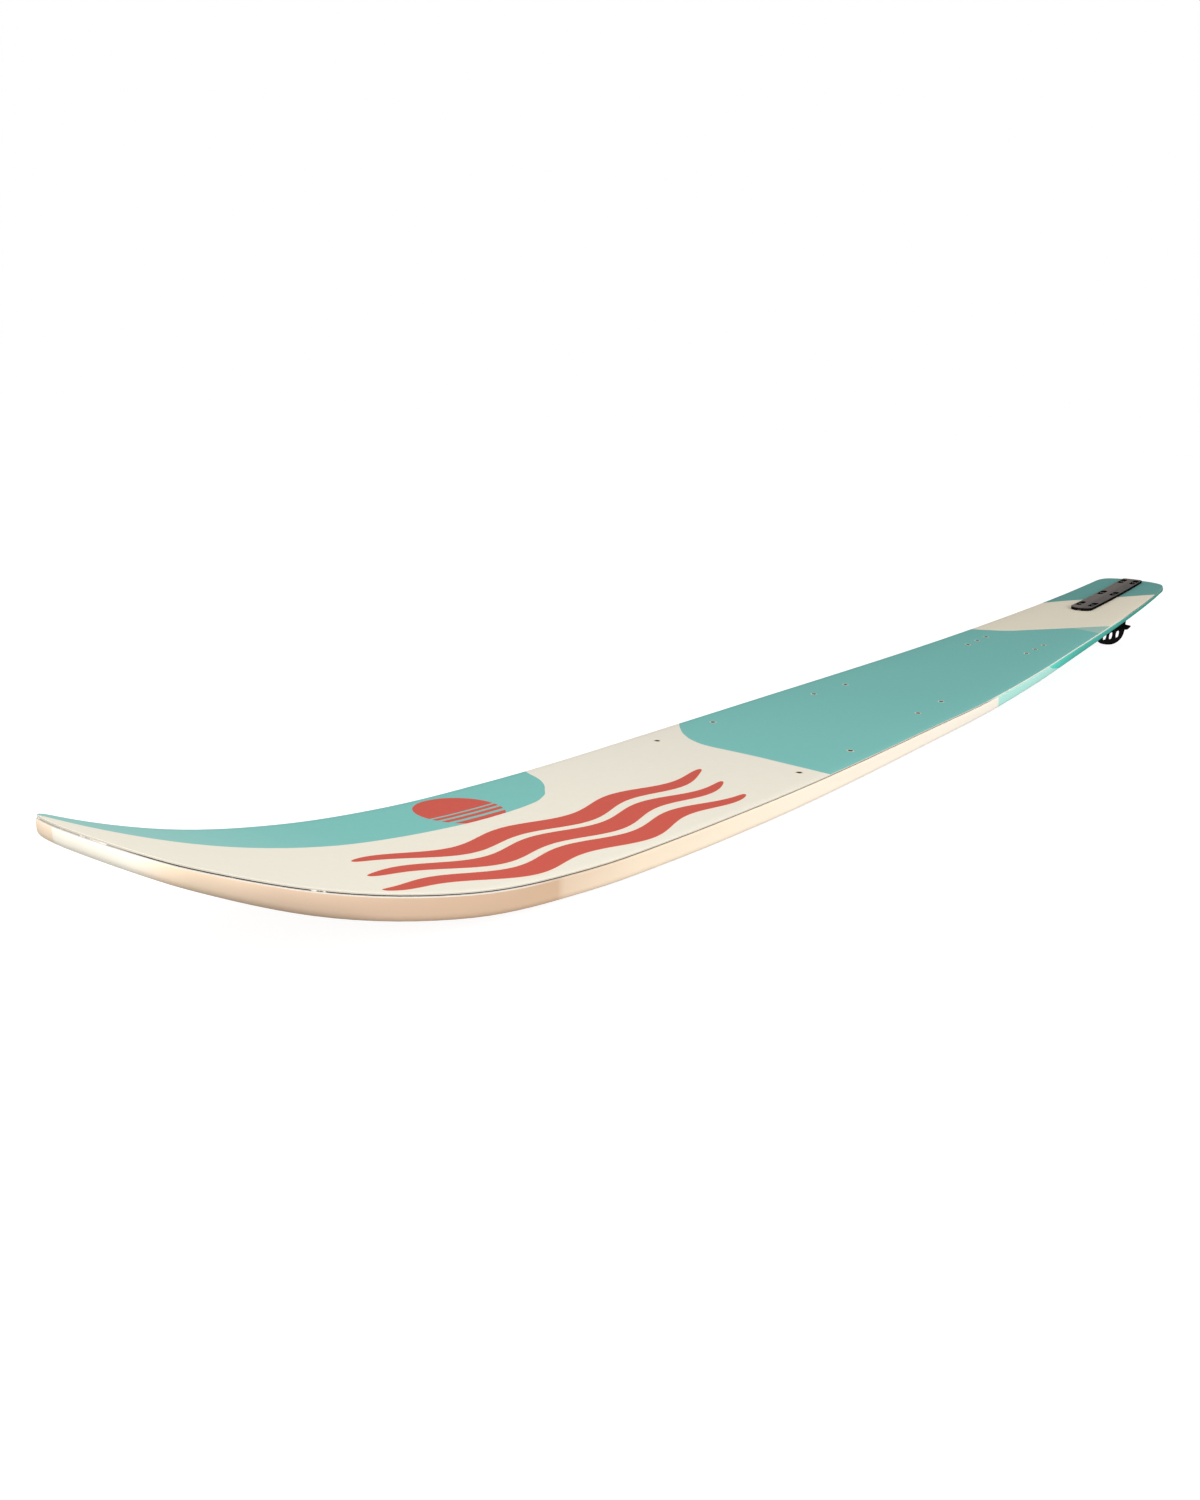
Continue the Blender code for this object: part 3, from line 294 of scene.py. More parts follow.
def base_z(x, y=0.0):
    """Height of the base, with its tunnel."""
    share = share_of_width(x, y)
    ramp = np.clip((TUNNEL_EDGE_SHARE - share) / TUNNEL_WALL, 0.0, 1.0)
    return ROCKER_LINE(x) - DROP_LINE(x) - SIDE_LINE(x) + TUNNEL_LINE(x) * ramp * ramp * (3 - 2 * ramp)


def deck_offset(depth):
    """A surface at a depth under the deck."""
    return lambda x, y=0.0: deck_z(x, y) - depth


def base_offset(height):
    """A surface at a height over the base."""
    return lambda x, y=0.0: base_z(x, y) + height


def shown(name, data):
    """A new object in the scene."""
    made = bpy.data.objects.new(name, data)
    bpy.context.scene.collection.objects.link(made)
    return made


def linked(name, mesh):
    """Turn a bmesh into a linked object, with its faces turned outwards."""
    bmesh.ops.recalc_face_normals(mesh, faces=mesh.faces)
    data = bpy.data.meshes.new(name)
    mesh.to_mesh(data)
    mesh.free()
    return shown(name, data)


def grid_body(name, rows, bands=()):
    """Close a body from rows of its near half; bands names the first row of each further material."""
    mesh = bmesh.new()
    known = {}

    def vertex(point):
        key = tuple(int(round(value * 1e7)) for value in point)
        if key not in known:
            known[key] = mesh.verts.new(point)
        return known[key]

    for side in (1.0, -1.0):
        mirror = np.array([1.0, side, 1.0])
        for k, (low, high) in enumerate(zip(rows, rows[1:])):
            band = sum(k >= start for start in bands)
            for i in range(len(low) - 1):
                corners = [low[i] * mirror, low[i + 1] * mirror, high[i + 1] * mirror, high[i] * mirror]
                distinct = list(dict.fromkeys(vertex(corner) for corner in corners))
                if len(distinct) > 2 and not mesh.faces.get(distinct):
                    mesh.faces.new(distinct).material_index = band
    return linked(name, mesh)


def on_circle(radius, angle, x=0.0, y=0.0):
    """The point of a circle at an angle."""
    return x + radius * math.cos(angle), y + radius * math.sin(angle)


def bridged(name, rings, place=Matrix.Identity(4)):
    """Close a body from rings of points, or single points, and set it down at a place."""
    mesh = bmesh.new()
    rings = [[mesh.verts.new(point) for point in ring] for ring in rings]
    for end in (rings[0], rings[-1]):
        if len(end) > 1:
            mesh.faces.new(end)
    count = max(len(ring) for ring in rings)
    for low, high in zip(rings, rings[1:]):
        for i in range(count):
            j = (i + 1) % count
            corners = [low[i % len(low)], low[j % len(low)], high[j % len(high)], high[i % len(high)]]
            mesh.faces.new(list(dict.fromkeys(corners)))
    mesh.transform(place)
    return linked(name, mesh)


def lathe(name, profile, place, sides):
    """Turn a profile of radius and height about the local z of a place."""
    turns = [2 * math.pi * i / sides for i in range(sides)]
    rings = [
        [(*on_circle(radius, t), height) for t in turns] if radius else [(0.0, 0.0, height)]
        for radius, height in profile
    ]
    return bridged(name, rings, place)


def prism(name, plan, low, high, place):
    """Extrude a plan outline between two heights of a place."""
    return bridged(name, [[(x, y, level) for x, y in plan] for level in (low, high)], place)


def curved_bar(name, start, end, half, low, high, steps=12):
    """A bar of rectangular section along the ski, whose faces follow functions of x."""
    near, far = half
    corners = ((near, low), (far, low), (far, high), (near, high))
    stations = np.linspace(start, end, steps + 1)
    return bridged(name, [[(x, y, float(level(x))) for y, level in corners] for x in stations])


def stadium(length, width, sides=16):
    """Plan of a slot with round ends, centred on the origin."""
    half = 0.5 * (length - width)
    angles = [math.pi * (i / sides - 0.5) for i in range(sides + 1)]
    front = [on_circle(0.5 * width, t, half) for t in angles]
    return front + [(-x, -y) for x, y in front]


def pin(name, radius, place, sides, depth=OVERCUT):
    """A plain round pin from a depth under a place to well above it."""
    profile = ((0.0, -depth), (radius, -depth), (radius, OVERCUT), (0.0, OVERCUT))
    return lathe(name, profile, place, sides)


def joined(name, objects):
    """Join separate guides that never touch into one."""
    mesh = bmesh.new()
    for obj in objects:
        mesh.from_mesh(obj.data)
        bpy.data.objects.remove(obj, do_unlink=True)
    return linked(name, mesh)


def settle(piece):
    """Replace a piece's mesh with what its modifiers make of it."""
    bpy.context.view_layer.update()
    shape = bpy.data.meshes.new_from_object(piece.evaluated_get(bpy.context.evaluated_depsgraph_get()))
    piece.modifiers.clear()
    piece.data = shape


def carve(piece, guides, operation="DIFFERENCE"):
    """Cut a piece with guides, which are then removed, and return it."""
    for guide in guides:
        modifier = piece.modifiers.new(guide.name, "BOOLEAN")
        modifier.operation = operation
        modifier.object = guide
        modifier.solver = "EXACT"
    settle(piece)
    for guide in guides:
        bpy.data.objects.remove(guide, do_unlink=True)
    return piece


def soften(piece, width):
    """Round a piece's hard edges and return it."""
    modifier = piece.modifiers.new("soften", "BEVEL")
    modifier.width = width
    modifier.segments = 2
    modifier.limit_method = "ANGLE"
    modifier.angle_limit = math.radians(50.0)
    settle(piece)
    return piece


def dress(piece, body, finishes, node):
    """Set a piece down at rest, give it its finishes, tie it to its body and hide its CAD node."""
    piece.data.transform(REST)
    piece.data.shade_smooth()
    piece.data.set_sharp_from_angle(angle=math.radians(35.0))
    bands = [polygon.material_index for polygon in piece.data.polygons]
    piece.data.materials.clear()
    for finish in finishes:
        piece.data.materials.append(finish)
    for polygon, band in zip(piece.data.polygons, bands):
        polygon.material_index = min(band, len(finishes) - 1)
    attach(piece, body)
    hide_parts(node)


class Nodes:
    """Short calls for the nodes of a tree."""

    def __init__(self, tree):
        self.tree = tree

    def node(self, kind, feeds, **settings):
        """A new node with its settings and what feeds its sockets."""
        made = self.tree.nodes.new(kind)
        for key, value in settings.items():
            setattr(made, key, value)
        for key, value in feeds.items():
            self.feed(made.inputs[key], value)
        return made

    def feed(self, socket, value):
        """Link a socket to another, or set its value, or its colour from an sRGB code."""
        if isinstance(value, bpy.types.NodeSocket):
            self.tree.links.new(value, socket)
        else:
            socket.default_value = linear(value) if isinstance(value, str) else value

    def math(self, operation, *values, clamp=False):
        """One math node."""
        feeds = dict(enumerate(values))
        return self.node("ShaderNodeMath", feeds, operation=operation, use_clamp=clamp).outputs[0]

    def add(self, a, b):
        return self.math("ADD", a, b)

    def sub(self, a, b):
        return self.math("SUBTRACT", a, b)

    def mul(self, a, b):
        return self.math("MULTIPLY", a, b)

    def fit(self, value, share, base):
        """A value times a share, over a base."""
        return self.math("MULTIPLY_ADD", value, share, base)

    def unit(self, value, low, span):
        """How far a value lies along a span, from 0 to 1."""
        return self.math("MULTIPLY_ADD", self.sub(value, low), 1.0 / span, 0.0, clamp=True)

    def fold(self, operation, masks):
        """Masks joined one after another."""
        made = masks[0]
        for mask in masks[1:]:
            made = self.math(operation, made, mask)
        return made

    def both(self, *masks):
        """Where all masks hold."""
        return self.fold("MINIMUM", masks)

    def either(self, *masks):
        """Where any mask holds."""
        return self.fold("MAXIMUM", masks)

    def over(self, value, limit, soft):
        """1 where a value passes a limit, with a soft edge of the given width."""
        return self.math("MULTIPLY_ADD", self.sub(value, limit), 1.0 / soft, 0.5, clamp=True)


class Finish(Nodes):
    """A Principled material, with calls for what feeds it."""

    def __init__(self, name, metallic=0.0, specular=0.5):
        self.material = bpy.data.materials.new(name)
        self.material.use_nodes = True
        super().__init__(self.material.node_tree)
        self.shader = self.tree.nodes["Principled BSDF"]
        self.feed(self.shader.inputs["Metallic"], metallic)
        self.feed(self.shader.inputs["Specular IOR Level"], specular)
        feeds = {
            "Vector": self.node("ShaderNodeTexCoord", {}).outputs["Object"],
            "Location": REST.to_translation(),
            "Rotation": (0.0, REST_TILT, 0.0),
        }
        self.place = self.node("ShaderNodeMapping", feeds, vector_type="TEXTURE").outputs["Vector"]
        self.x, self.y, self.z = self.node("ShaderNodeSeparateXYZ", {0: self.place}).outputs

    def rise(self, value, low, high):
        """Smooth step from 0 to 1 as a value goes from one level to another."""
        feeds = {0: value, 1: low, 2: high}
        return self.node("ShaderNodeMapRange", feeds, interpolation_type="SMOOTHSTEP").outputs[0]

    def line(self, value, points):
        """A smooth curve through points of position and level, as a function of a value."""
        xs = [p[0] for p in points]
        ys = [p[1] for p in points]
        low, span = min(xs), max(xs) - min(xs)
        floor, reach = min(ys), max(max(ys) - min(ys), 1e-9)
        made = self.node("ShaderNodeFloatCurve", {"Value": self.unit(value, low, span)})
        curve = made.mapping.curves[0]
        while len(curve.points) < len(points):
            curve.points.new(0.5, 0.5)
        for point, (x, y) in zip(curve.points, sorted(points)):
            point.location = ((x - low) / span, (y - floor) / reach)
            point.handle_type = "AUTO"
        made.mapping.update()
        return self.fit(made.outputs[0], reach, floor)

    def mix(self, factor, a, b):
        """Blend two colours."""
        return self.node("ShaderNodeMix", {0: factor, 6: a, 7: b}, data_type="RGBA").outputs[2]

    def ramp(self, value, stops):
        """Colours along a value: pairs of level and sRGB code."""
        low, span = stops[0][0], stops[-1][0] - stops[0][0]
        made = self.node("ShaderNodeValToRGB", {0: self.unit(value, low, span)})
        points = made.color_ramp.elements
        while len(points) < len(stops):
            points.new(0.5)
        for point, (level, code) in zip(points, stops):
            point.position = (level - low) / span
            point.color = linear(code)
        return made.outputs[0]

    def noise(self, scale, detail=3.0, stretch=(1.0, 1.0, 1.0), roughness=0.5):
        """Noise over the ski's coordinates, which may be stretched."""
        place = self.node("ShaderNodeVectorMath", {0: self.place, 1: stretch}, operation="MULTIPLY")
        feeds = {"Vector": place.outputs[0], "Scale": scale, "Detail": detail, "Roughness": roughness}
        return self.node("ShaderNodeTexNoise", feeds).outputs[0]

    def cells(self, scale):
        """Cell distances over the ski's coordinates."""
        feeds = {"Vector": self.place, "Scale": scale}
        return self.node("ShaderNodeTexVoronoi", feeds, feature="F1").outputs["Distance"]

    def shade(self, colour, amount):
        """Scale a colour's brightness by an amount near one."""
        return self.node("ShaderNodeHueSaturation", {"Value": amount, "Color": colour}).outputs[0]

    def paint(self, colour, roughness, height, strength, distance):
        """Feed the shader its colour, roughness and bump."""
        feeds = {"Strength": strength, "Distance": distance, "Height": height}
        bump = self.node("ShaderNodeBump", feeds)
        self.feed(self.shader.inputs["Base Color"], colour)
        self.feed(self.shader.inputs["Roughness"], roughness)
        self.feed(self.shader.inputs["Normal"], bump.outputs[0])
        return self.material

    def wear(self, colour, pattern, tone, gloss, strength, distance):
        """Paint a colour, with one pattern in its brightness, its gloss and its bumps."""
        shaded = self.shade(colour, self.fit(pattern, *tone))
        return self.paint(shaded, self.fit(pattern, *gloss), pattern, strength, distance)


# Edges of the deck's colours
NOSE_EDGE = (
    (1.24, -0.1), (1.247, -0.0857), (1.26, -0.059), (1.275, -0.0442), (1.29, -0.034),
    (1.31, -0.0281), (1.355, -0.0256), (1.411, -0.026), (1.457, -0.0269), (1.5059, -0.0266),
    (1.5487, -0.0278), (1.5995, -0.0298), (1.6447, -0.0315), (1.67, -0.0328), (1.7, -0.0345),
)
MID_FRONT_EDGE = (
    (-0.09, 1.0305), (-0.0749, 1.0508), (-0.0609, 1.065), (-0.0446, 1.0757), (-0.0293, 1.0803),
    (-0.0038, 1.0805), (0.0222, 1.0805), (0.0471, 1.082), (0.09, 1.0835),
)
MID_REAR_EDGE = (
    (-0.07, 0.427), (-0.0504, 0.424), (-0.0272, 0.412), (-0.0079, 0.39), (0.0177, 0.36),
    (0.0292, 0.346), (0.0614, 0.301), (0.075, 0.28),
)
TAIL_EDGE_X = 0.1400
TAIL_EDGE_SLOPE = -1.319
NOSE_FIELD_REAR = 1.243
WEDGE_X = 0.3431
WEDGE_SLOPE = 0.125
WEDGE_SIDE = 0.029
PRINT_EDGE = 0.0003

# Generic pattern: wave stripes and a striped sun
WAVE_START = 1.160
WAVE_END = 1.530
WAVE_LOW = -0.0025
WAVE_PITCH = 0.0262
WAVE_COUNT = 3
WAVE_SWAY = 0.0055
WAVE_LENGTH = 0.120
WAVE_SHARE = 0.37
WAVE_SHIFT = 0.045
WAVE_FULLNESS = 0.42
HALO = 0.0005
SUN_PLACE = (1.360, -0.0505)
SUN_RADIUS = 0.0320
SUN_SLITS = ((-0.0330, 0.0017), (-0.0405, 0.0014), (-0.0470, 0.0010))


def deck_finish():
    """The printed deck: colour fields, wave stripes and fine bumps, with no specular sheen."""
    f = Finish("deck_print_finish", specular=0.0)
    x, y = f.x, f.y
    nose = f.both(f.over(f.line(x, NOSE_EDGE), y, PRINT_EDGE), f.over(x, NOSE_FIELD_REAR, PRINT_EDGE))
    front = f.over(f.line(y, MID_FRONT_EDGE), x, PRINT_EDGE)
    behind = f.over(x, f.line(y, MID_REAR_EDGE), PRINT_EDGE)
    mid = f.both(front, behind)
    tail = f.over(f.fit(y, TAIL_EDGE_SLOPE, TAIL_EDGE_X), x, PRINT_EDGE)
    wedge_line = f.fit(y, WEDGE_SLOPE, WEDGE_X)
    wedge = f.both(mid, f.over(wedge_line, x, PRINT_EDGE), f.over(y, WEDGE_SIDE, PRINT_EDGE))

    sway = f.mul(f.math("SINE", f.mul(f.sub(x, WAVE_START), 2 * math.pi / WAVE_LENGTH)), WAVE_SWAY)
    ladder = f.mul(f.sub(f.sub(y, WAVE_LOW), sway), 1.0 / WAVE_PITCH)
    step = f.math("FLOOR", ladder)
    across = f.math("ABSOLUTE", f.sub(f.math("FRACT", ladder), 0.5))
    along = f.mul(f.sub(x, WAVE_START), 1.0 / (WAVE_END - WAVE_START))
    shifted = f.sub(along, f.mul(f.sub(step, 1.0), WAVE_SHIFT))
    swell = f.math("SINE", f.mul(f.math("MULTIPLY", shifted, 1.0, clamp=True), math.pi))
    thick = f.mul(f.math("POWER", f.math("MAXIMUM", swell, 0.0), WAVE_FULLNESS), WAVE_SHARE)
    rows = f.both(f.over(step, -0.5, 0.01), f.over(WAVE_COUNT - 0.5, step, 0.01))
    inside = f.both(rows, f.over(thick, 0.004, 0.002))
    waves = f.both(f.over(thick, across, PRINT_EDGE / WAVE_PITCH), inside)
    wave_halo = f.both(f.over(f.add(thick, HALO / WAVE_PITCH), across, PRINT_EDGE / WAVE_PITCH), inside)

    centred = f.node("ShaderNodeCombineXYZ", {0: f.sub(x, SUN_PLACE[0]), 1: f.sub(y, SUN_PLACE[1])})
    reach = f.node("ShaderNodeVectorMath", {0: centred.outputs[0]}, operation="LENGTH")
    sun = f.both(f.over(SUN_RADIUS, reach.outputs["Value"], PRINT_EDGE), nose)
    for level, half in SUN_SLITS:
        away = f.math("ABSOLUTE", f.sub(y, level))
        sun = f.both(sun, f.over(away, half, PRINT_EDGE))

    cream = f.mix(f.rise(x, 0.25, 1.10), REAR_CREAM, CREAM)
    teal = f.mix(f.rise(x, 1.44, 1.66), TEAL, NOSE_TEAL)
    teal = f.mix(tail, teal, TAIL_TEAL)
    colour = f.mix(f.either(nose, mid, tail), cream, teal)
    colour = f.mix(wedge, colour, SAGE)
    colour = f.mix(wave_halo, colour, HALO_COLOUR)
    colour = f.mix(f.either(waves, sun), colour, RED)
    mottle = f.noise(140.0, 4.0)
    grain = f.noise(1500.0, 2.0)
    amount = f.add(f.fit(mottle, 0.030, 0.970), f.fit(grain, 0.040, -0.005))
    colour = f.shade(colour, amount)
    rough = f.fit(f.noise(60.0, 5.0), 0.14, 0.40)
    height = f.add(f.mul(grain, 0.6), f.mul(f.noise(420.0, 3.0), 0.5))
    return f.paint(colour, rough, height, 0.12, 0.0001)


# Colours along the side: distance from the tail, colour. The cream is the side's own colour; the peach
# and tan stretch with its sharp break near 1.42, and the light cream before the tip, are painted
# reflection and shade
WALL_COLOURS_AND_REFLECTIONS = (
    (0.7, "FFF6E8"), (1.13, "F9ECD8"), (1.34, "F0DEC5"), (1.4195, "DFC7AE"), (1.4205, "D0B194"),
    (1.52, "D0B298"), (1.61, "D3B9A1"), (1.655, "E1CBB1"), (1.675, "F6E0C6"),
)
# Painted shading: change of brightness down the side, from its top to its bottom, darker low down
# towards the tail and at the nose and a little lighter low down between
WALL_PAINTED_SHADING = (
    (0.2, -0.34), (0.45, -0.22), (0.65, -0.06), (0.8, 0.0), (0.9, 0.08), (1.2, 0.1),
    (1.4, 0.12), (1.47, 0.02), (1.54, -0.08), (1.58, -0.38), (1.63, -0.5),
)
WALL_STATIONS = np.linspace(0.0, SKI_LENGTH, 25)
# Colour of a painted highlight: a light patch on the near side of the tip
TIP_HIGHLIGHT_COLOUR = "F8F2E3"
SIDE_TEALS = (
    (0.0, "50A698"), (0.25, "54B2A4"), (0.44, "5AC0B2"), (0.5, "62CFC0"), (0.55, "69DCCD"),
)
MINT = "B9EEE3"
MINT_FRONT = 0.7202
MINT_LEAN = 0.12
TEAL_FRONT = 0.5503
TEAL_LEAN = 0.0258
TEAL_LEAN_TOP = -0.0065
TEAL_LEAN_DEPTH = 0.0063
TEAL_LEAN_POWER = 1.6
# Slant and far limit of the painted highlight patch at the tip
TIP_LEAN = -0.15
TIP_SIDE = -0.0080
# Lines under the deck
PALE_LINE_FRONT = 0.735
GREY_LINE_FRONT = 0.230
CHIP_X = 1.590
CHIP_HALF = 0.0045


def wall_colour(f):
    """Cream at the nose, with its tan stretch, and mint and teal bands behind. The tan stretch is
    painted reflection and shade, the light patch on the tip's near side is a painted highlight, and the
    brightness down the side is painted shading.
    """
    x, y, z = f.x, f.y, f.z
    down = f.math("MAXIMUM", f.sub(TEAL_LEAN_TOP, z), 0.0)
    slant = f.mul(f.math("POWER", f.mul(down, 1 / TEAL_LEAN_DEPTH), TEAL_LEAN_POWER), TEAL_LEAN)
    teal = f.over(f.sub(TEAL_FRONT, slant), x, PRINT_EDGE)
    mint = f.over(f.fit(z, MINT_LEAN, MINT_FRONT), x, PRINT_EDGE)
    # Painted highlight: a light patch at the very tip, on its near side only
    tip = f.both(f.rise(f.add(x, f.mul(y, TIP_LEAN)), 1.655, 1.672), f.over(y, TIP_SIDE, 0.0010))
    edge = f.line(x, [(place, float(ROCKER_LINE(place) - DROP_LINE(place))) for place in WALL_STATIONS])
    height = f.line(x, [(place, float(SIDE_LINE(place))) for place in WALL_STATIONS])
    low = f.math("MINIMUM", f.math("DIVIDE", f.sub(edge, z), height), 0.90)
    # Painted shading down the side: a brightness that changes from the top of the side to its bottom
    painted_shading = f.fit(f.sub(low, 0.30), f.line(x, WALL_PAINTED_SHADING), 1.0)
    # The side's colour along its length, with painted reflection and shade in its tan stretch and the
    # painted highlight patch at the tip
    body = f.mix(tip, f.ramp(x, WALL_COLOURS_AND_REFLECTIONS), TIP_HIGHLIGHT_COLOUR)
    return f.shade(f.mix(teal, f.mix(mint, body, MINT), f.ramp(x, SIDE_TEALS)), painted_shading)


def side_finish():
    """The moulded side and base."""
    f = Finish("side_finish", specular=0.0)
    cloud = f.noise(22.0, 5.0, (1.0, 1.0, 3.0))
    fleck = f.noise(900.0, 2.0)
    amount = f.add(f.fit(cloud, 0.05, 0.970), f.fit(fleck, 0.025, -0.010))
    colour = f.shade(wall_colour(f), amount)
    scratch = f.noise(160.0, 6.0, (0.25, 1.0, 1.0), 0.6)
    rough = f.fit(scratch, 0.16, 0.14)
    height = f.add(cloud, f.mul(scratch, 0.2))
    return f.paint(colour, rough, height, 0.10, 0.0006)


def rim_finish():
    """The top edge of the side: a white line at the nose; behind, the side's colour, with its painted
    reflection, highlight and shading.
    """
    f = Finish("rim_finish", specular=0.0)
    colour = f.mix(f.rise(f.x, 1.40, 1.47), wall_colour(f), "E6E1D8")
    return f.wear(colour, f.noise(240.0, 5.0), (0.10, 0.93), (0.2, 0.22), 0.10, 0.0002)


def rear_lines(f, colour):
    """A line under the deck, pale along the rear and grey at the tail."""
    colour = f.mix(f.over(PALE_LINE_FRONT, f.x, 0.03), colour, "F2EFE2")
    return f.mix(f.over(GREY_LINE_FRONT, f.x, 0.06), colour, "7C796E")


def seam_finish():
    """The rough cut edge of the carbon layer, broken at the tip and paler behind."""
    f = Finish("seam_finish", specular=0.1)
    patch = f.noise(95.0, 5.0, (1.0, 1.0, 1.0), 0.65)
    weave = f.math("SINE", f.mul(f.add(f.x, f.mul(f.y, 0.7)), 2400.0))
    chip = f.over(CHIP_HALF, f.math("ABSOLUTE", f.sub(f.x, CHIP_X)), 0.003)
    lift = f.add(patch, f.add(f.mul(f.rise(f.x, 1.645, 1.668), 0.14), f.mul(chip, 0.30)))
    lifted = f.rise(lift, 0.66, 0.74)
    dark = f.mix(f.rise(f.x, 1.25, 1.45), "625C56", "2E2A28")
    dark = rear_lines(f, f.mix(f.rise(f.x, 1.668, 1.680), dark, "A9A297"))
    colour = f.mix(lifted, dark, "EDE9E0")
    colour = f.shade(colour, f.fit(weave, 0.10, 0.95))
    rough = f.fit(patch, 0.3, 0.45)
    return f.paint(colour, rough, f.add(patch, f.mul(weave, 0.2)), 0.5, 0.0003)


def sheet_edge_finish():
    """The cut edge of the printed sheet: painted shade, darker than the deck at the nose, pale along
    the rear and grey at the tail.
    """
    f = Finish("sheet_edge_finish", specular=0.1)
    # The edge's colour is painted shade, darker than the deck, in place of the lamp light the edge
    # would catch
    return f.wear(rear_lines(f, "C9C2B4"), f.noise(260.0, 4.0), (0.12, 0.94), (0.2, 0.40), 0.2, 0.0002)


def resin_finish():
    """The thin lines of resin on each side of the carbon layer: pale at the nose and the rear, and
    between them the side's colour, with its painted reflection and shading.
    """
    f = Finish("resin_finish", specular=0.1)
    colour = f.mix(f.rise(f.x, 1.36, 1.45), wall_colour(f), "D5CFC3")
    colour = f.mix(f.over(PALE_LINE_FRONT, f.x, 0.03), colour, "F0EDE0")
    return f.wear(colour, f.noise(300.0, 4.0), (0.16, 0.88), (0.2, 0.35), 0.2, 0.0002)


def foam_finish():
    """Closed-cell foam."""
    f = Finish("foam_finish", specular=0.2)
    return f.wear("E2D5A8", f.cells(900.0), (0.35, 0.78), (0.1, 0.82), 0.6, 0.0004)


def glass_finish():
    """Glass cloth in resin."""
    f = Finish("glass_finish", specular=0.5)
    warp, weft = [f.math("SINE", f.mul(axis, 3600.0)) for axis in (f.x, f.y)]
    weave = f.mul(warp, weft)
    colour = f.shade("C6CDBB", f.fit(weave, 0.10, 0.92))
    rough = f.fit(f.noise(200.0), 0.2, 0.35)
    return f.paint(colour, rough, weave, 0.4, 0.0002)


def plastic_finish():
    """Moulded black plastic with a fine grain."""
    f = Finish("black_plastic_finish", specular=0.4)
    grain = f.cells(2200.0)
    cloud = f.noise(180.0, 4.0)
    colour = f.shade("26282A", f.fit(cloud, 0.30, 0.85))
    return f.paint(colour, f.fit(cloud, 0.15, 0.48), grain, 0.3, 0.0001)


def block_finish():
    """Dark grey anodised aluminium, brushed along the block, with painted shade: its top is darker on
    the near half than on the far half.
    """
    f = Finish("block_finish", metallic=0.58, specular=0.0)
    brush = f.noise(900.0, 4.0, (0.03, 1.0, 1.0), 0.6)
    cloud = f.noise(60.0, 3.0)
    # Painted shade: the near half of the top darker, the far half lighter
    tone = f.mix(f.rise(f.y, -0.004, 0.004), "4A3F36", "322A25")
    colour = f.shade(tone, f.add(f.fit(brush, 0.22, 0.86), f.mul(cloud, 0.04)))
    rough = f.fit(brush, 0.22, 0.30)
    return f.paint(colour, rough, brush, 0.18, 0.00015)


def brass_finish():
    """Turned brass, dull on its face."""
    f = Finish("brass_finish", metallic=0.8)
    tarnish = f.noise(900.0, 4.0)
    colour = f.mix(f.rise(tarnish, 0.35, 0.65), "EADBC6", "C8B69F")
    return f.paint(colour, f.fit(tarnish, 0.25, 0.30), tarnish, 0.1, 0.0001)


BRUSHED = (1100.0, 4.0, (0.04, 1.0, 1.0), 0.6)
MILLED = (1200.0, 3.0, (1.0, 1.0, 0.1))
STAINED = (1400.0, 3.0)
TURNED = (2600.0, 3.0, (1.0, 1.0, 0.2))
CLOUDED = (400.0, 3.0)
# Plain metals: colour, fine and broad noise, brightness, gloss, bump strength, metallic and specular
METALS = {
    # Black anodised aluminium with a fine brushed grain
    "fin_finish": ("1A1919", BRUSHED, (90.0, 4.0), (0.6, 0.7), (0.18, 0.34), 0.12, 0.0, 0.0),
    # The machined sides, floors and recesses of the block, anodised black
    "block_side_finish": ("131110", MILLED, None, (0.5, 0.75), (0.2, 0.35), 0.2, 0.0, 0.0),
    # The inside of a threaded bore, painted dark as shade
    "bore_shade_finish": ("40322A", STAINED, None, (0.6, 0.65), (0.2, 0.45), 0.1, 0.5, 0.3),
    # Stainless steel fasteners, finely turned
    "steel_finish": ("8A8782", TURNED, CLOUDED, (0.25, 0.85), (0.2, 0.22), 0.08, 1.0, 0.5),
    # Blackened steel screws
    "black_screw_finish": ("1E1B1A", TURNED, CLOUDED, (0.5, 0.75), (0.2, 0.30), 0.08, 0.3, 0.15),
}


def metal(name):
    """A plain metal, with broad noise in its brightness and fine noise in its gloss and bumps."""
    colour, fine, broad, tone, gloss, strength, metallic, specular = METALS[name]
    f = Finish(name, metallic, specular)
    grain = f.noise(*fine)
    cloud = f.noise(*broad) if broad else grain
    return f.paint(f.shade(colour, f.fit(cloud, *tone)), f.fit(grain, *gloss), grain, strength, 0.0001)


def quarter(steps):
    """Angles of a quarter turn."""
    return [0.5 * math.pi * i / steps for i in range(steps + 1)]


def rounded(radius, steps):
    """Depth and inset of the stations of a round edge, from its foot to its top."""
    return [(radius * (1 - math.sin(t)), radius * (1 - math.cos(t))) for t in quarter(steps)]


def deck_row(depth, outset=0.0, share=1.0):
    """A row of the deck's outline at a depth under the deck."""
    return DECK_EDGE.row(deck_offset(depth), outset, share)


DECK_SHARES = (0.0, 0.18, 0.36, 0.50, 0.62, 0.72, 0.82, 0.92)


def make_deck_skin(guides):
    """The printed sheet, with its round upper edge and its openings."""
    rows = [deck_row(TOP_SHEET, 0.0, share) for share in DECK_SHARES]
    edge_start = len(rows)
    rows.append(deck_row(TOP_SHEET))
    rows += [deck_row(depth, -inset) for depth, inset in rounded(EDGE_ROUND, 3)]
    rows += [deck_row(0.0, -EDGE_ROUND, share) for share in reversed(DECK_SHARES)]
    return carve(grid_body("deck_skin", rows, (edge_start, edge_start + 2)), guides)


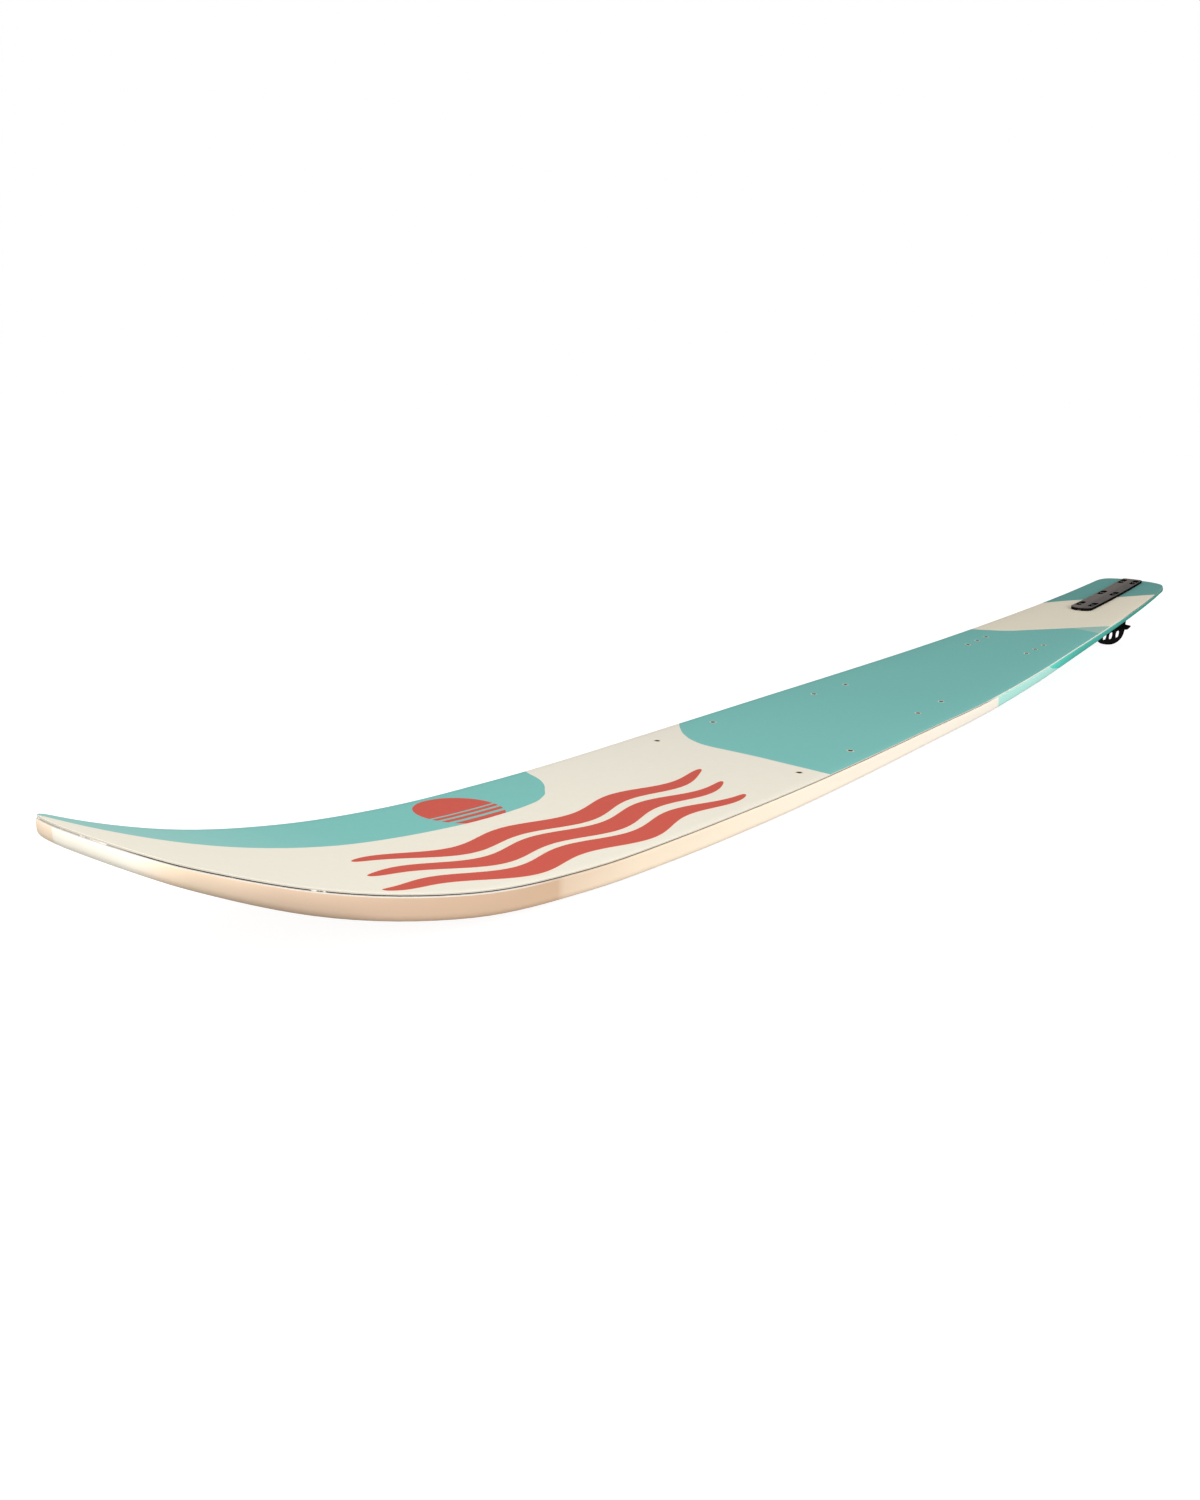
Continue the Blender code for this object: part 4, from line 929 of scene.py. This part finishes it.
def make_seam(guides):
    """The carbon layer, whose cut edge shows as the dark seam under the deck."""
    shares = DECK_SHARES + (1.0,)
    rows = [deck_row(RIM_TOP - SEAM_SPARE, -SEAM_SINK, share) for share in shares]
    dark_start = len(rows)
    for depth in (TOP_SHEET + BOND_GAP + TOP_LAMINATE, TOP_SHEET + BOND_GAP):
        rows.append(deck_row(depth, -SEAM_SINK))
    rows += [deck_row(TOP_SHEET + SEAM_SPARE, -SEAM_SINK, share) for share in reversed(shares)]
    return carve(grid_body("seam_layer", rows, (dark_start, dark_start + 1)), guides)


def bevel_rows(inset, bottom_clear, angles):
    """Rows round the lower corner of the side, at an inset from the outer skin."""
    rows = []
    side = SIDE_LINE(DECK_EDGE.points[:, 0])
    for angle in angles:

        def height(x, y, angle=angle):
            top = deck_z(x, y)
            depth = top - base_z(x, y)
            straight = STRAIGHT_SHARE * depth
            return top - straight - (depth - straight - bottom_clear) * math.sin(angle)

        outset = SIDE_BULGE - inset - BEVEL_SHARE * side * (1 - math.cos(angle))
        rows.append(DECK_EDGE.row(height, outset))
    return rows


TUNNEL_SHARES = (0.0, 0.18, *(TUNNEL_FLOOR_SHARE + TUNNEL_WALL * i / 4 for i in range(5)), 0.85)


def make_side_skin(guides):
    """The moulded base and sides as one tray, with a round rim."""
    side = SIDE_LINE(DECK_EDGE.points[:, 0])
    outer = SIDE_BULGE - BEVEL_SHARE * side
    inner = outer - SIDE_WALL
    rows = [DECK_EDGE.row(base_offset(0.0), outer, share) for share in TUNNEL_SHARES]
    rows += bevel_rows(0.0, 0.0, quarter(9)[::-1])
    rim_start = len(rows) + 2
    rows += [deck_row(RIM_TOP + depth, SIDE_BULGE - inset) for depth, inset in rounded(RIM_ROUND, 5)]
    rows.append(deck_row(RIM_TOP, SIDE_BULGE - SIDE_WALL))
    rows += bevel_rows(SIDE_WALL, BASE_FLOOR, quarter(2))
    rows += [DECK_EDGE.row(base_offset(BASE_FLOOR), inner, share) for share in TUNNEL_SHARES[::-1]]
    return carve(grid_body("side_skin", rows, (rim_start,)), guides)


def deck_frame(x, y):
    """Place on the deck at x and y, with its z along the deck's normal."""
    step = 0.5 * RECESS_LENGTH
    slope = (deck_z(x + step, y) - deck_z(x - step, y)) / (2 * step)
    tilt = Matrix.Rotation(-math.atan(float(slope)), 4, "Y")
    return Matrix.Translation((x, y, float(deck_z(x, y)))) @ tilt


def both_sides(places):
    """Name, number and deck frame of fasteners that stand on both sides."""
    return [
        (f"{side}_{number}", deck_frame(x, sign * half))
        for side, sign in (("left", 1.0), ("right", -1.0))
        for number, (x, half) in enumerate(places, 1)
    ]


BINDING_PLACES = both_sides(BINDING_ROWS)
BLOCK_PLACES = both_sides([(RECESS_FIRST + i * RECESS_PITCH, RECESS_SIDE) for i in range(3)])


def insert_guides():
    """The openings of the binding inserts as one guide."""
    radius = INSERT_RADIUS + 0.5 * SEAT_GAP
    sockets = [pin("socket_" + key, radius, place, 40, INSERT_LENGTH) for key, place in BINDING_PLACES]
    return joined("holes", sockets)


def slot_guide():
    """The opening of the fin slot."""
    room = LINER_WALL + SEAT_GAP
    wall = CHANNEL_HALF + room
    ends = (SLOT_START - room, SLOT_END + room)
    return curved_bar("slot", *ends, (-wall, wall), base_offset(-OVERCUT), deck_offset(-OVERCUT))


THREAD_PITCH = 0.0009
THREAD_DEPTH = 0.0003
INSERT_CHAMFER = 0.0004
INSERT_SINK = 0.00005
INSERT_EDGE = 0.0002
INSERT_FLOOR = 0.0008
THREAD_END = 0.0020


def make_insert(key, place):
    """A flanged insert with a chamfered mouth and a threaded bore."""
    top = -INSERT_SINK
    floor = -INSERT_LENGTH + INSERT_FLOOR
    profile = [
        (0.0, -INSERT_LENGTH), (INSERT_RADIUS, -INSERT_LENGTH), (INSERT_RADIUS, top - INSERT_EDGE),
        (INSERT_RADIUS - INSERT_EDGE, top), (INSERT_BORE + INSERT_CHAMFER, top),
        (INSERT_BORE, top - INSERT_CHAMFER),
    ]
    depth = top - INSERT_CHAMFER
    while depth > -INSERT_LENGTH + THREAD_END:
        profile.append((INSERT_BORE - THREAD_DEPTH, depth - 0.5 * THREAD_PITCH))
        profile.append((INSERT_BORE, depth - THREAD_PITCH))
        depth -= THREAD_PITCH
    profile += [(INSERT_BORE, floor), (0.0, floor)]
    insert = lathe("insert_" + key, profile, place, 28)
    # Faces inside the bore get the second finish, which is painted shade
    mouth = place.inverted()
    for polygon in insert.data.polygons:
        spot = mouth @ polygon.center
        reach = math.hypot(spot.x, spot.y)
        above_floor = spot.z > floor - 0.5 * INSERT_FLOOR
        polygon.material_index = int(above_floor and reach < INSERT_BORE + 0.5 * INSERT_CHAMFER)
    return insert


def block_outline():
    """Near half of the fin block's plan, rounded more at its front."""

    def corner(x, radius):
        return [on_circle(radius, angle, x, BLOCK_HALF_WIDTH - radius) for angle in quarter(8)]

    rear_x = BLOCK_START + BLOCK_REAR_ROUND
    front_x = BLOCK_START + BLOCK_LENGTH - BLOCK_FRONT_ROUND
    rear = [(2 * rear_x - x, y) for x, y in corner(rear_x, BLOCK_REAR_ROUND)]
    middle = [(x, BLOCK_HALF_WIDTH) for x in np.linspace(rear_x, front_x, 12)[1:-1]]
    front = corner(front_x, BLOCK_FRONT_ROUND)[::-1]
    return Outline([(BLOCK_START, 0.0)] + rear + middle + front + [(BLOCK_START + BLOCK_LENGTH, 0.0)])


def make_block():
    """The fin block plate with its recesses, screw holes and channel."""
    outline = block_outline()
    rows = [outline.row(deck_offset(-BLOCK_GAP), 0.0, 0.0), outline.row(deck_offset(-BLOCK_GAP))]
    for depth, inset in rounded(BLOCK_BEVEL, 4):
        rows.append(outline.row(deck_offset(depth - BLOCK_HEIGHT), -inset))
    rows.append(outline.row(deck_offset(-BLOCK_HEIGHT), -BLOCK_BEVEL, 0.0))
    block = grid_body("block_plate", rows)
    under, roof = deck_offset(OVERCUT), deck_offset(-CHANNEL_HEIGHT)
    end = BLOCK_START + BLOCK_LENGTH
    full = (-CHANNEL_HALF, CHANNEL_HALF)
    narrow = (-ADJUSTER_HALF, ADJUSTER_HALF)
    guides = [
        curved_bar("channel", SLOT_START, SLOT_END, full, under, roof),
        curved_bar("rear_channel", BLOCK_START - OVERCUT, SLOT_START + LAP, narrow, under, roof, 1),
        curved_bar("front_channel", SLOT_END - LAP, end - LAP, narrow, under, roof, 4),
        curved_bar("front_mouth", end - MOUTH_LENGTH, end + OVERCUT, full, under, roof, 1),
    ]
    floor = BLOCK_HEIGHT - RECESS_DEPTH
    plan = stadium(RECESS_LENGTH, RECESS_WIDTH)
    recesses = [prism("recess_" + key, plan, floor, OVERCUT, place) for key, place in BLOCK_PLACES]
    holes = [pin("hole_" + key, SCREW_SHANK + SEAT_GAP, place, 24) for key, place in BLOCK_PLACES]
    carve(block, guides + [joined("recesses", recesses), joined("screw_holes", holes)])
    for polygon in block.data.polygons:
        x, y, z = polygon.center
        on_top = polygon.normal.z > 0.6 and z > float(deck_z(x, y)) + BLOCK_HEIGHT - BLOCK_BEVEL
        polygon.material_index = 0 if on_top else 1
    return block


def make_bolt(key, place):
    """A pan-head screw with a hexagon socket."""
    seat = BLOCK_HEIGHT - RECESS_DEPTH + SEAT_GAP
    top = seat + SCREW_HEAD_HEIGHT
    profile = [(0.0, -SCREW_REACH), (SCREW_SHANK, -SCREW_REACH)]
    profile += [(SCREW_SHANK, seat), (SCREW_HEAD_RADIUS, seat)]
    profile += [(SCREW_HEAD_RADIUS - inset, top - depth) for depth, inset in rounded(SCREW_CROWN, 4)]
    profile.append((0.0, top))
    bolt = lathe("bolt_" + key, profile, place, 32)
    turns = [math.pi * i / 3 for i in range(6)]
    plan = [on_circle(SCREW_SOCKET, t) for t in turns]
    return carve(bolt, [prism("hexagon", plan, top - SCREW_SOCKET_DEPTH, top + OVERCUT, place)])


WING_START = 0.5 * FIN_THICKNESS + SEAT_GAP
UPRIGHT = Matrix.Rotation(math.radians(90.0), 4, "X")
WING_FRAME = Matrix.Translation((PIVOT_X, 0.0, PIVOT_Z)) @ Matrix.Rotation(WING_TILT, 4, "Y")


def blade_outline():
    """Side view of the fin: tab, shoulders and blade."""
    tops = [(x, float(deck_z(x)) + TAB_RISE) for x in np.linspace(TAB_START, TAB_END, 8)]
    rear_x = BLADE_CURVE[0][0]
    shoulders = [float(base_z(x)) - SHOULDER_GAP for x in (rear_x, TAB_START, TAB_END, BLADE_FRONT)]
    curve = [(rear_x, shoulders[0])] + list(BLADE_CURVE) + [(BLADE_FRONT, shoulders[3])]
    blade = [tuple(point) for point in smooth_path(curve, 8)]
    return blade + [(TAB_END, shoulders[2])] + tops[::-1] + [(TAB_START, shoulders[1])]


def arc_slot():
    """The curved slot in the fin for the wing's rear screw, about the pivot."""
    wall = WING_SCREW + SEAT_GAP
    middle = math.pi - WING_TILT
    inner = REAR_SCREW_BACK - wall
    outer = REAR_SCREW_BACK + wall
    angles = [middle + WING_SWING * t for t in np.linspace(-1.0, 1.0, 7)]
    caps = [math.pi * t for t in np.linspace(0.0, 1.0, 11)]
    plan = [on_circle(outer, a) for a in angles]
    for end, turn in ((angles[-1], 0.0), (angles[0], math.pi)):
        centre = on_circle(REAR_SCREW_BACK, end)
        plan += [on_circle(wall, end + turn + cap, *centre) for cap in caps[1:-1]]
        if turn == 0.0:
            plan += [on_circle(inner, a) for a in reversed(angles)]
    return plan


def make_fin():
    """The fin: a thin blade with softened edges, three slots and the wing's screw holes."""
    half = 0.5 * FIN_THICKNESS
    fin = prism("fin_blade", blade_outline(), -half, half, UPRIGHT)
    slots = []
    for x, z in FIN_HOLES:
        place = UPRIGHT @ Matrix.Translation((x, z, 0.0)) @ Matrix.Rotation(FIN_HOLE_LEAN, 4, "Z")
        slots.append(prism("slot", stadium(FIN_HOLE_LENGTH, FIN_HOLE_WIDTH), -OVERCUT, OVERCUT, place))
    pivot = UPRIGHT @ Matrix.Translation((PIVOT_X, PIVOT_Z, 0.0))
    slots.append(pin("pivot", WING_SCREW + PIVOT_CLEARANCE, pivot, 28))
    slots.append(prism("arc", arc_slot(), -OVERCUT, OVERCUT, pivot))
    return soften(carve(fin, [joined("fin_slots", slots)]), FIN_EDGE)


def wing_plan(sign):
    """Plan of one wing half in the wing's frame: swept back, with a round tip."""
    tip_rear, tip_front = WING_TIP
    middle = WING_HALF_SPAN - WING_TIP_ROUND
    plan = [(x, WING_START) for x in WING_ROOT]
    for x, start in ((tip_front - WING_TIP_ROUND, 20.0), (tip_rear + WING_TIP_ROUND, 90.0)):
        for step in range(8):
            plan.append(on_circle(WING_TIP_ROUND, math.radians(start + step * 10.0), x, middle))
    return [(x, sign * y) for x, y in plan]


def make_wing(side, sign):
    """One half of the wing: a swept blade under an ear that lies along the fin."""
    wing = prism("vane_" + side, wing_plan(sign), -WING_DROP - WING_THICKNESS, -WING_DROP, WING_FRAME)
    near, far = sorted((sign * WING_START, sign * (WING_START + EAR_THICKNESS)))
    low = -WING_DROP - 0.5 * WING_THICKNESS
    plan = [(EAR_START, near), (EAR_END, near), (EAR_END, far), (EAR_START, far)]
    carve(wing, [prism("ear", plan, low, low + EAR_HEIGHT, WING_FRAME)], "UNION")
    bores = []
    for x in (0.0, -REAR_SCREW_BACK):
        place = WING_FRAME @ Matrix.Translation((x, 0.0, 0.0)) @ UPRIGHT
        bores.append(pin("bore", WING_SCREW + SEAT_GAP, place, 24))
    return soften(carve(wing, [joined("bores", bores)]), WING_EDGE)


def seen_rays(nodes):
    """1 for camera, glossy and transmission rays."""
    rays = nodes.node("ShaderNodeLightPath", {}).outputs
    return nodes.either(rays["Is Camera Ray"], rays["Is Glossy Ray"], rays["Is Transmission Ray"])


def make_stage():
    """A pale floor and an even white world behind it."""
    bpy.ops.mesh.primitive_plane_add(size=30.0)
    floor = bpy.context.object
    floor.name = "floor"
    material = bpy.data.materials.new("floor_finish")
    material.use_nodes = True
    material.node_tree.nodes.clear()
    nodes = Nodes(material.node_tree)
    lit, seen = [
        nodes.node("ShaderNodeBsdfDiffuse", {"Color": (level, level, level, 1.0)}).outputs[0]
        for level in (FLOOR, SEEN_FLOOR)
    ]
    glow = nodes.node("ShaderNodeEmission", {"Strength": FLOOR_GLOW}).outputs[0]
    both = nodes.node("ShaderNodeAddShader", {0: seen, 1: glow}).outputs[0]
    pick = nodes.node("ShaderNodeMixShader", {0: seen_rays(nodes), 1: lit, 2: both}).outputs[0]
    nodes.node("ShaderNodeOutputMaterial", {0: pick})
    floor.data.materials.append(material)
    world = bpy.data.worlds.new("studio")
    bpy.context.scene.world = world
    world.use_nodes = True
    nodes = Nodes(world.node_tree)
    light = nodes.tree.nodes["Background"].inputs
    level = nodes.node("ShaderNodeMix", {0: seen_rays(nodes), 2: AMBIENT, 3: 1.0}).outputs[0]
    nodes.feed(light["Color"], (1.0, 1.0, 1.0, 1.0))
    nodes.feed(light["Strength"], level)


# Light from all round, the floor's grey in that light and to the camera, and its glow to the camera
AMBIENT = 0.48
FLOOR = 0.50
SEEN_FLOOR = 0.30
FLOOR_GLOW = 0.90
# Soft boxes: name, place, aim, size and power
LAMPS = (
    ("top_softbox", (1.15, 0.10, 1.05), (1.12, 0.0, 0.0), 1.2, 6.9),
    ("side_softbox", (0.20, 1.90, 0.70), (0.05, 0.0, 0.0), 1.5, 23.0),
    ("front_softbox", (2.20, 0.45, 0.35), (0.80, 0.0, 0.08), 0.8, 14.0),
)


def make_lamps():
    """The soft boxes."""
    for name, place, aim, size, power in LAMPS:
        lamp = bpy.data.lights.new(name, "AREA")
        lamp.shape = "SQUARE"
        lamp.size = size
        lamp.energy = power
        box = shown(name, lamp)
        box.location = place
        box.rotation_euler = (Vector(aim) - Vector(place)).to_track_quat("-Z", "Y").to_euler()


def make_camera():
    """The photograph's camera, set out in the ski's frame."""
    heading, pitch, roll = (math.radians(angle) for angle in CAMERA_TURN)
    ahead = Vector((*on_circle(math.cos(pitch), heading), -math.sin(pitch)))
    level = Vector((math.sin(heading), -math.cos(heading), 0.0))
    down = ahead.cross(level)
    right = math.cos(roll) * level + math.sin(roll) * down
    lower = -math.sin(roll) * level + math.cos(roll) * down
    turn = Matrix((right, -lower, -ahead)).transposed().to_4x4()
    data = bpy.data.cameras.new("camera")
    data.sensor_width = 36.0
    data.lens = CAMERA_LENS
    data.clip_start = 0.01
    camera = shown("camera", data)
    camera.matrix_world = REST @ Matrix.Translation(CAMERA_PLACE) @ turn
    bpy.context.scene.camera = camera


def main():
    """Build and finish every piece."""
    make_camera()
    make_stage()
    make_lamps()
    bpy.context.scene.view_settings.view_transform = "Standard"
    deck, resin, brass = deck_finish(), resin_finish(), brass_finish()
    black = [metal("fin_finish")]
    black_screw = [metal("black_screw_finish")]
    threaded = [brass, metal("bore_shade_finish")]
    plate = [block_finish(), metal("block_side_finish")]
    printed = [deck, sheet_edge_finish(), deck]
    dress(make_deck_skin([insert_guides(), slot_guide()]), "ski", printed, "top_sheet")
    layer = [resin, seam_finish(), resin]
    dress(make_seam([insert_guides(), slot_guide()]), "ski", layer, "top_laminate")
    tray = [side_finish(), rim_finish()]
    dress(make_side_skin([slot_guide()]), "ski", tray, "base_shell")
    for key, place in BINDING_PLACES:
        dress(make_insert(key, place), "ski", threaded, "binding_insert_" + key)
    dress(make_block(), "ski", plate, "fin_block")
    for key, place in BLOCK_PLACES:
        dress(make_bolt(key, place), "ski", black_screw, "block_screw_" + key)
    dress(make_fin(), "fin", black, "fin")
    for side, sign in (("left", 1.0), ("right", -1.0)):
        dress(make_wing(side, sign), "wing", black, "wing_" + side)
    plastic, steel = plastic_finish(), metal("steel_finish")
    # Pieces shown as packed: how their names start, and their finish
    packed = {
        "foam_core": foam_finish(), "bottom_laminate": glass_finish(), "fin_slot_liner": plastic,
        "clamp_bar": plastic, "fin_stop": plastic, "adjuster": steel, "wing_screw": steel,
        "wing_nut": steel, "block_insert": brass,
    }
    for name, node in frame["nodes"].items():
        for kind, finish in packed.items():
            if name.startswith(kind):
                for slot in node.material_slots:
                    slot.link = "OBJECT"
                    slot.material = finish


main()
bpy.context.view_layer.update()
